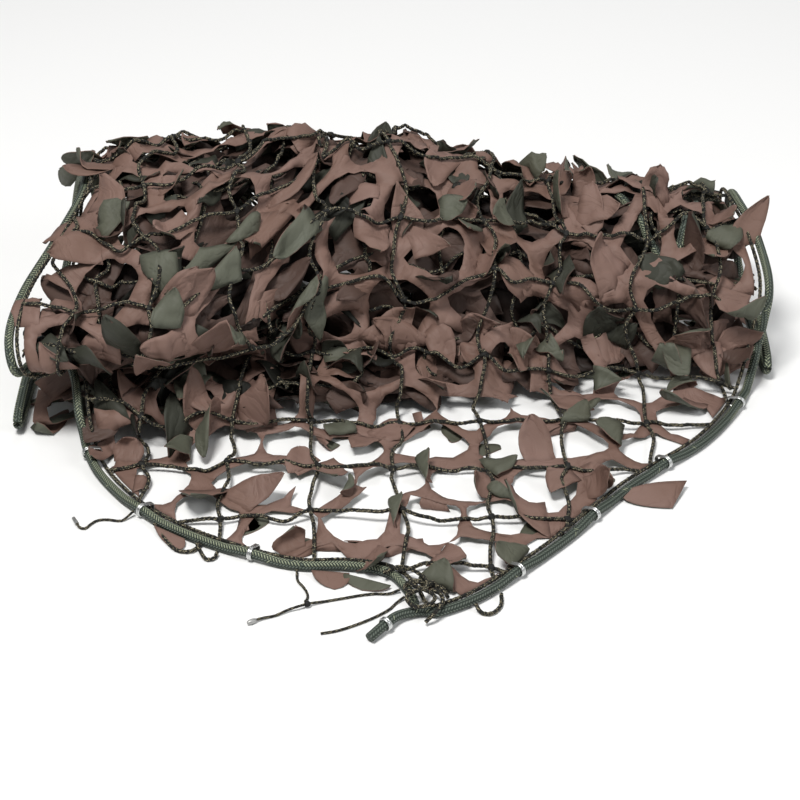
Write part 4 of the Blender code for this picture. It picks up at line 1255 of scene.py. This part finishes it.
netBraid = {                   # row and rowChance make the pale row of the rope; a net cord has none
    "dark": (0.008, 0.008, 0.007), "strand": (0.030, 0.029, 0.023), "pale": (0.33, 0.29, 0.19),
    "columns": 4, "slant": 0.8, "pitch": 0.0026, "share": 0.11, "chance": 0.62, "row": 2.0,
    "rowTurn": 0.0, "rowFrom": 0.0, "rowChance": 0.0, "strength": 0.95, "depth": 0.0012, "roughness": 0.7,
}
ropeBraid = {
    "dark": (0.012, 0.020, 0.014), "strand": (0.150, 0.178, 0.146), "pale": (0.36, 0.39, 0.26),
    "columns": 8, "slant": 0.8, "pitch": 0.0029, "share": 0.12, "chance": 0.04, "row": 0.70,
    "rowTurn": 0.5, "rowFrom": 0.50, "rowChance": 0.96, "strength": 0.9, "depth": 0.0010, "roughness": 0.6,
}


# A size of the net at a sheet place, between those for the open corner and for the heap.
def slackAt(place, openSize, heapSize):
    share = float(heapShare(place[None])[0])
    return net[openSize] * (1 - share) + net[heapSize] * share


# Places of the joints, by column and row.
def netJoints(draw, shift):
    joints = {}
    count = int(sheet["half"] / net["pitch"]) + 1
    for i in range(-count, count + 1):
        for j in range(0, int(sheet["end"] / net["pitch"]) + 1):
            place = np.array(((i + shift) * net["pitch"], (j + shift) * net["pitch"]))
            stray = slackAt(place, "strayOpen", "strayHeap")
            joints[i, j] = place + [draw.uniform(-stray, stray) for axis in range(2)]
    return joints


# Slack cords in the sheet, from joint to joint, and the joints on the cloth.
def netRoutes(outline, limit, seed, shift):
    draw = random.Random(seed)
    joints = netJoints(draw, shift)
    routes = []
    columns = sorted({i for i, j in joints})
    rows = sorted({j for i, j in joints})
    lines = [[(i, j) for j in rows] for i in columns] + [[(i, j) for i in columns] for j in rows if j]
    for line in lines:
        points = []
        for a, b in zip(line, line[1:]):
            start, end = joints[a], joints[b]
            bow = slackAt((start + end) / 2, "bowOpen", "bowHeap")
            aside = np.array((start[1] - end[1], end[0] - start[0]))
            aside = aside / np.hypot(*aside)
            points.append(start)
            for share in (0.3, 0.7):
                points.append(start + (end - start) * share + aside * draw.uniform(-bow, bow))
        points.append(joints[line[-1]])
        track = np.array([p[:] for p in smoothLine(points, 0.003)])
        within = insideOf(track, outline) & (track[:, 1] < limit)
        firsts = np.concatenate(([0], np.nonzero(np.diff(within.astype(int)))[0] + 1))
        for first, run in zip(firsts, np.split(track, firsts[1:])):
            if within[first] and len(run) > net["shortest"]:
                routes.append(run)
    places = np.array(list(joints.values()))
    return routes, places[insideOf(places, outline) & (places[:, 1] < limit)]


# Sets a small lump, turned at random, on every point.
def knotTree():
    tree, given, add, compute = nodeGroup("knots", (
        ("Size", "Vector"), ("Seed", "Int"), ("Material", "Material")))
    ball = add("GeometryNodeMeshIcoSphere", {"Radius": 1.0, "Subdivisions": 3}).outputs["Mesh"]
    lumps = add("ShaderNodeTexNoise", {"Scale": 1.6}).outputs["Fac"]
    normal = add("GeometryNodeInputNormal").outputs["Normal"]
    push = add("ShaderNodeVectorMath", {
        0: normal, "Scale": compute("MULTIPLY_ADD", lumps, 0.9, -0.35)}, operation="SCALE")
    lumpy = add("GeometryNodeSetPosition", {"Geometry": ball, "Offset": push.outputs["Vector"]})
    smooth = add("GeometryNodeSetShadeSmooth", {"Geometry": lumpy.outputs["Geometry"]})
    turn = add("FunctionNodeRandomValue", {
        "Max": (0.6, 0.6, 6.28), "Seed": given["Seed"]}, data_type="FLOAT_VECTOR")
    spread = add("GeometryNodeInstanceOnPoints", {
        "Points": given["Geometry"], "Instance": smooth.outputs["Geometry"],
        "Rotation": turn.outputs["Value"], "Scale": given["Size"]})
    endGroup(add, spread.outputs["Instances"], given["Material"])
    return tree


edgeCords = (                  # dips under the rope, a loop and the tangle at the corner, as table places
    ((-226, -45, 3), (-222, -50, 0), (-216, -63, 0), (-203, -82, 0), (-190, -85, 0), (-183, -79, 1),
     (-181, -74, 3)),
    ((-184, -77, 3), (-180, -86, 0), (-174, -97, 0), (-167, -95, 0), (-165, -89, 2)),
    ((66, -167, 3), (71, -175, 0), (80, -176, 0), (88, -165, 0), (89, -151, 2)),
    ((-15, -128, 8), (2, -124, 12), (20, -134, 9), (24, -152, 11), (12, -164, 15), (4, -154, 11),
     (12, -138, 7), (34, -142, 5), (42, -158, 4)),
    ((40, -128, 2), (30, -140, 7), (20, -156, 12), (6, -170, 14), (12, -182, 12), (26, -180, 13),
     (30, -168, 13), (18, -158, 14), (8, -150, 13), (20, -140, 6), (44, -146, 2)),
    ((28, -150, 6), (35, -160, 9), (37, -176, 13), (30, -187, 9), (22, -191, 2)),
)


# The net's cords with those beside the rope, and its knots.
def makeNet():
    border = insetLine(net["borderInset"], 0.003)
    routes, joints = netRoutes(border, net["limit"], net["seed"], 0.0)
    lines = []
    for route in routes:
        over = net["spans"] * np.maximum(-rippleAt(route), 0)
        lines.append(carry(route, net["lift"] + net["liftHeap"] * heapShare(route) + over, least=net["low"]))
    edge = np.array([p[:] for p in border])
    edge = edge[edge[:, 1] < markAt("back", edge[:, 0]) + 0.05]
    start = int(np.argmax(np.hypot(*np.diff(edge, axis=0).T))) + 1
    lines.append(carry(np.roll(edge, -start, axis=0), net["borderLift"], least=net["low"]))
    for route in netRoutes(border, net["underLimit"], net["seed"] + 1, net["underShift"])[0]:
        heap = route[heapShare(route) > 0.9]
        if len(heap) > net["underShortest"]:
            sunk = 0.6 * depthAt(heap, net["underDepth"])
            lines.append(carry(heap, net["lift"] - net["underDrop"] + sunk, least=net["low"]))
    up = Vector((0, 0, net["radius"] + 0.0002))
    lines += [smoothLine([tablePlace(*place) + up for place in line], 0.002) for line in edgeCords]
    cords = grown(wireObject("netWires", lines), cordNodes, "net_cords", {
        "Radius": net["radius"], "Flatness": net["flatness"], "Step": net["step"],
        "Twist": net["twist"], "Bumps": 0.06, "Sides": net["sides"], "Material": netFinish})
    spots = carry(joints, net["lift"] + net["liftHeap"] * heapShare(joints), least=net["knotLow"])
    knots = grown(meshObject("joints", spots, []), knotTree(), "net_knots", {
        "Size": net["knot"], "Seed": 3, "Material": netFinish})
    return cords, knots


cordNodes = cordTree()
netFinish = cordMaterial("netCord", netBraid)
netCords, netKnots = makeNet()
stage("net: %d faces, knots %d faces" % (len(netCords.data.polygons), len(netKnots.data.polygons)))


# Edge rope, clips and tails.

# A length of the edge rope along a line in space.
def ropeLength(name, line, material, look):
    return grown(wireObject("ropeWire", [line]), cordNodes, name, {
        "Radius": rope["radius"] - rope["slim"], "Flatness": 1.0, "Step": rope["step"], "Twist": 4.0,
        "Bumps": 0.0, "Sides": rope["sides"], "Material": cordMaterial(material, look)})


# The second one is the turn of rope seen through two openings of the right lobe.
turnWay = np.array([p[:] for p in smoothLine(rope["turn"], 0.002)])
ropeObject = ropeLength("edge_rope_braid", ropeFine[::2], "ropeBraid", ropeBraid)
ropeTurn = ropeLength("edge_rope_turn", carry(turnWay, -rope["turnDepth"]), "ropeTurn",
                      dict(ropeBraid, rowFrom=0.0))
stage("rope: %d faces" % len(ropeObject.data.polygons))


clip = {
    "wall": 0.0012,
    "length": 0.0046,
    "gap": 0.0003,
    "eye": 0.0036,             # radius of the eye round the border cord
    "spare": 0.0027,           # from that cord's middle to the eye's far side
    "cordHeight": 0.0057,      # middle of the border cord above the cloth
    "colour": (0.60, 0.61, 0.60),
}
tail = {
    "radius": 0.0013,
    "step": 0.0012,
    "hitch": 0.0026,           # half length of the knot where tail_drop ends
    "height": 0.0015,          # lowest middle of a tail above the floor
    "start": 0.0005,           # gap to the rope that it leaves
    "gap": 0.0004,
}
tailTips = (                   # tail, piece, length and radius
    ("tail_left", "crimp", 0.0100, 0.0020),
    ("tail_long", "bead", 0.0085, 0.0024),
)
tailRoutes = {                 # table places; the first one only shows the side of the rope it leaves from
    "tail_left": (
        (-251, -31, 0), (-256, -35, 0), (-263, -35.5, 0), (-270, -34, 0),
        (-279, -35, 0), (-285, -41, 0), (-289, -48, 0), (-294.5, -47, 0.3),
        (-297.5, -42, 0.8)),
    "tail_long": (
        (-2, -145, 0), (-10, -147, 0), (-22, -147, 0), (-34, -149, 0), (-48, -153, 0),
        (-66, -158, 0), (-78, -163, 1.8), (-88, -168.5, 2.8), (-98, -172, 1.2),
        (-108, -178, 0), (-118, -182, 0.6), (-124, -185.5, 1.2)),
    "tail_drop": (
        (-92.5, -118, 0), (-91, -127, 0), (-86, -136, 0), (-82, -145, 0),
        (-81, -153, 0), (-83, -159.5, 1)),
    "tail_front": (
        (-2, -156, 0), (-3, -160, 0), (-9, -169, 0), (-20, -179, 0), (-33, -188, 0),
        (-45, -195, 0), (-56, -200, 0), (-68, -203, 0)),
}


# A metal with fine wear.
def metalMaterial(name, colour, roughness):
    finish, shader, add, compute = newMaterial(name)
    place = add("ShaderNodeTexCoord").outputs["Object"]
    worn = add("ShaderNodeTexNoise", {"Vector": place, "Scale": 700.0, "Detail": 3.0}).outputs["Fac"]
    bump = add("ShaderNodeBump", {"Strength": 0.3, "Distance": 0.0004, "Height": worn})
    feed(shader, {"Base Color": (*colour, 1), "Normal": bump.outputs["Normal"], "Metallic": 1.0,
                  "Roughness": compute("MULTIPLY_ADD", worn, 0.25, roughness)})
    return finish


# Inner outline of a band: round the rope, with a lower eye that reaches to one side.
def bandOutline(eye, reach):
    wide = rope["radius"] + clip["gap"]
    loop = []
    for radius, middle, start, sweep, count in ((wide, 0.0, 80, 200, 24), (eye, reach - eye, -80, 160, 12)):
        for k in range(count):
            angle = math.radians(start + sweep * k / (count - 1))
            loop.append((middle + radius * math.cos(angle), radius * math.sin(angle)))
    return loop


# A pressed metal band with two ridges, square to the rope.
def bandRing(name, loop, centre, along, inward):
    up = along.cross(inward).normalized()
    section = []
    for k in range(13):
        share = k / 12 - 0.5
        section.append((share, clip["wall"] * (0.5 + 0.5 * abs(math.sin(2 * math.pi * share)))))
    section += [(0.5, 0.0), (-0.5, 0.0)]
    vertices = []
    for k, (a, b) in enumerate(loop):
        before, after = loop[k - 1], loop[(k + 1) % len(loop)]
        out = Vector((after[1] - before[1], before[0] - after[0])).normalized()
        for share, wall in section:
            vertices.append(centre + inward * (a + out.x * wall) + up * (b + out.y * wall)
                            + along * (share * clip["length"]))
    count = len(section)
    faces = []
    for k in range(len(loop)):
        n = (k + 1) % len(loop)
        for j in range(count):
            m = (j + 1) % count
            faces.append((k * count + j, n * count + j, n * count + m, k * count + m))
    return finished(meshObject(name, vertices, faces), metal)


# Faces outwards, smooth, and with the material.
def finished(made, finish):
    work = bmesh.new()
    work.from_mesh(made.data)
    bmesh.ops.recalc_face_normals(work, faces=work.faces)
    work.to_mesh(made.data)
    work.free()
    made.data.materials.append(finish)
    smoothShade(made)
    return made


# The bands that hold rope and border cord together, and the one on the rope's free end.
def makeClips():
    made = []
    for n, i in enumerate(clipSpots):
        centre, along = ringSeats[n + 1]
        ahead = ropeTrack[i + 3] - ropeTrack[i - 3]
        border = ropeTrack[i] + Vector((-ahead.y, ahead.x)).normalized() * net["borderInset"]
        cord = Vector(carry([border[:]], clip["cordHeight"], ripple=False)[0]) - centre
        cord -= along * cord.dot(along)
        loop = bandOutline(clip["eye"], cord.length + clip["spare"])
        made.append(bandRing("clip_band_%d" % (n + 1), loop, centre, along, cord.normalized()))
    centre, along = ringSeats[0]
    wide = rope["radius"] + clip["gap"]
    level = Vector((-along.y, along.x, 0)).normalized()
    return made + [bandRing("corner_band", bandOutline(wide, wide), centre, along, level)]


# The line of a tail from the side of the rope.
def tailPoints(name):
    side, *route = [tablePlace(*place) + Vector((0, 0, tail["height"])) for place in tailRoutes[name]]
    near = min(ropeFine, key=lambda p: (p.xy - side.xy).length)
    out = (side.xy - near.xy).normalized() * (rope["radius"] + tail["start"])
    return smoothLine([near + Vector((out.x, out.y, -tail["radius"]))] + route, 0.0036)


# A solid turned about the line from start to end; the profile gives share and radius.
def turnedPiece(name, profile, start, end, finish, sides=24):
    axis = end - start
    aside = axis.orthogonal().normalized()
    other = axis.normalized().cross(aside)
    vertices = []
    for share, radius in profile:
        for k in range(sides):
            angle = 2 * math.pi * k / sides
            spoke = aside * math.cos(angle) + other * math.sin(angle)
            vertices.append(start + axis * share + spoke * radius)
    last = (len(profile) - 1) * sides
    faces = gridQuads(len(profile), sides, around=True)
    faces += [tuple(reversed(range(sides))), tuple(range(last, last + sides))]
    return finished(meshObject(name, vertices, faces), finish)


# Pressed sleeve: rings along it, then an end that narrows a little.
def crimpProfile(radius):
    rows = [(k / 24, radius * (0.86 + 0.14 * abs(math.cos(math.pi * k / 8)) - 0.12 * k / 24))
            for k in range(25)]
    return [(0.0, 0.5 * radius)] + rows + [(1.0, 0.35 * radius)]


# A rounded bead.
def beadProfile(radius):
    return [(k / 16, radius * (0.42 + 0.58 * math.sin(math.pi * (0.08 + 0.86 * k / 16)) ** 0.7))
            for k in range(17)]


# The four tails, the tips of two of them and the knot on tail_long.
def makeTails():
    made = {}
    for name, line in tailLines.items():
        made[name] = grown(wireObject("tailWire", [line]), cordNodes, name + "_cord", {
            "Radius": tail["radius"], "Flatness": 0.92, "Step": tail["step"], "Twist": 0.012,
            "Bumps": 0.05, "Sides": 10, "Material": netFinish})
    for (name, tip, length, radius), profile in zip(tailTips, (crimpProfile, beadProfile)):
        line = tailLines[name]
        way = (line[-1] - line[-2]).normalized()
        way.z = 0
        start = line[-1] + way * tail["gap"]
        made[tip] = turnedPiece(tip + "_end", profile(radius), start, start + way * length, dullMetal)
    line, drop = tailLines["tail_long"], tailLines["tail_drop"][-1]
    k = min(range(len(line) - 1), key=lambda k: ((line[k] + line[k + 1]) / 2 - drop).length)
    half = (line[k + 1] - line[k]).normalized() * tail["hitch"]
    middle = (line[k] + line[k + 1]) / 2
    profile = [(j / 12, tail["radius"] * (1.15 + 0.95 * math.sin(math.pi * j / 12) ** 0.6))
               for j in range(13)]
    made["knot"] = turnedPiece("cord_hitch", profile, middle - half, middle + half, netFinish)
    return made


metal = metalMaterial("clipMetal", clip["colour"], 0.22)
dullMetal = metalMaterial("tipMetal", (0.42, 0.42, 0.41), 0.40)
tailLines = {name: tailPoints(name) for name in tailRoutes}
bands = makeClips()
tails = makeTails()
stage("clips, tails and tips: %d pieces" % (len(bands) + len(tails)))


# Floor, declarations and the end.

makeStudio()
scene.view_settings.view_transform = "Standard"
outer, under, deep = (made for made, area in cloths)
for piece in (outer, under, deep, netCords, netKnots, ropeObject, ropeTurn, *bands, *tails.values()):
    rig.ride(piece, "root")
standsFor = {"garnish_cloth": outer, "support_net": netCords, "edge_rope": ropeObject}
standsFor.update({"clip_%d" % (number + 1): band for number, band in enumerate(bands[:-1])})
standsFor["corner_ring"] = bands[-1]
standsFor.update({name: tails[name] for name in tailRoutes})
standsFor.update({"crimp_tip": tails["crimp"], "bead_tip": tails["bead"], "cord_knot": tails["knot"]})
for node, piece in standsFor.items():
    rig.replaces(piece, node)
ends = {"tail_left": ("fitting", (tails["crimp"],)),
        "tail_long": ("fitting", (tails["bead"], tails["knot"])),
        "tail_drop": ("knot", ()), "tail_front": ("bare", ())}
for name, (end, others) in ends.items():
    line = tailLines[name]
    length = sum((b - a).length for a, b in zip(line, line[1:]))
    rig.cord(tails[name], exit=line[0], length=length, diameter=2 * tail["radius"], far_end=end,
            stiffness="limp", lay="loose", path=line, with_pieces=others)
    stage("%s is %.0f mm long" % (name, length * 1000))
for (made, area), layer in zip(cloths, layers):
    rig.sheet(made, flat=layer["flat"], held="folded", rests_on=(layer["on"],), area=area)
shown = [[float(x) for x in corner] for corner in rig.bounds()]
with open("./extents.json", "w") as out:
    json.dump({"frame": cadBox, "shown": shown}, out)
stage("size in mm: %s, frame: %s" % ([round(1000 * (b - a), 1) for a, b in zip(*shown)],
                                     [round(1000 * (b - a), 1) for a, b in zip(*cadBox)]))
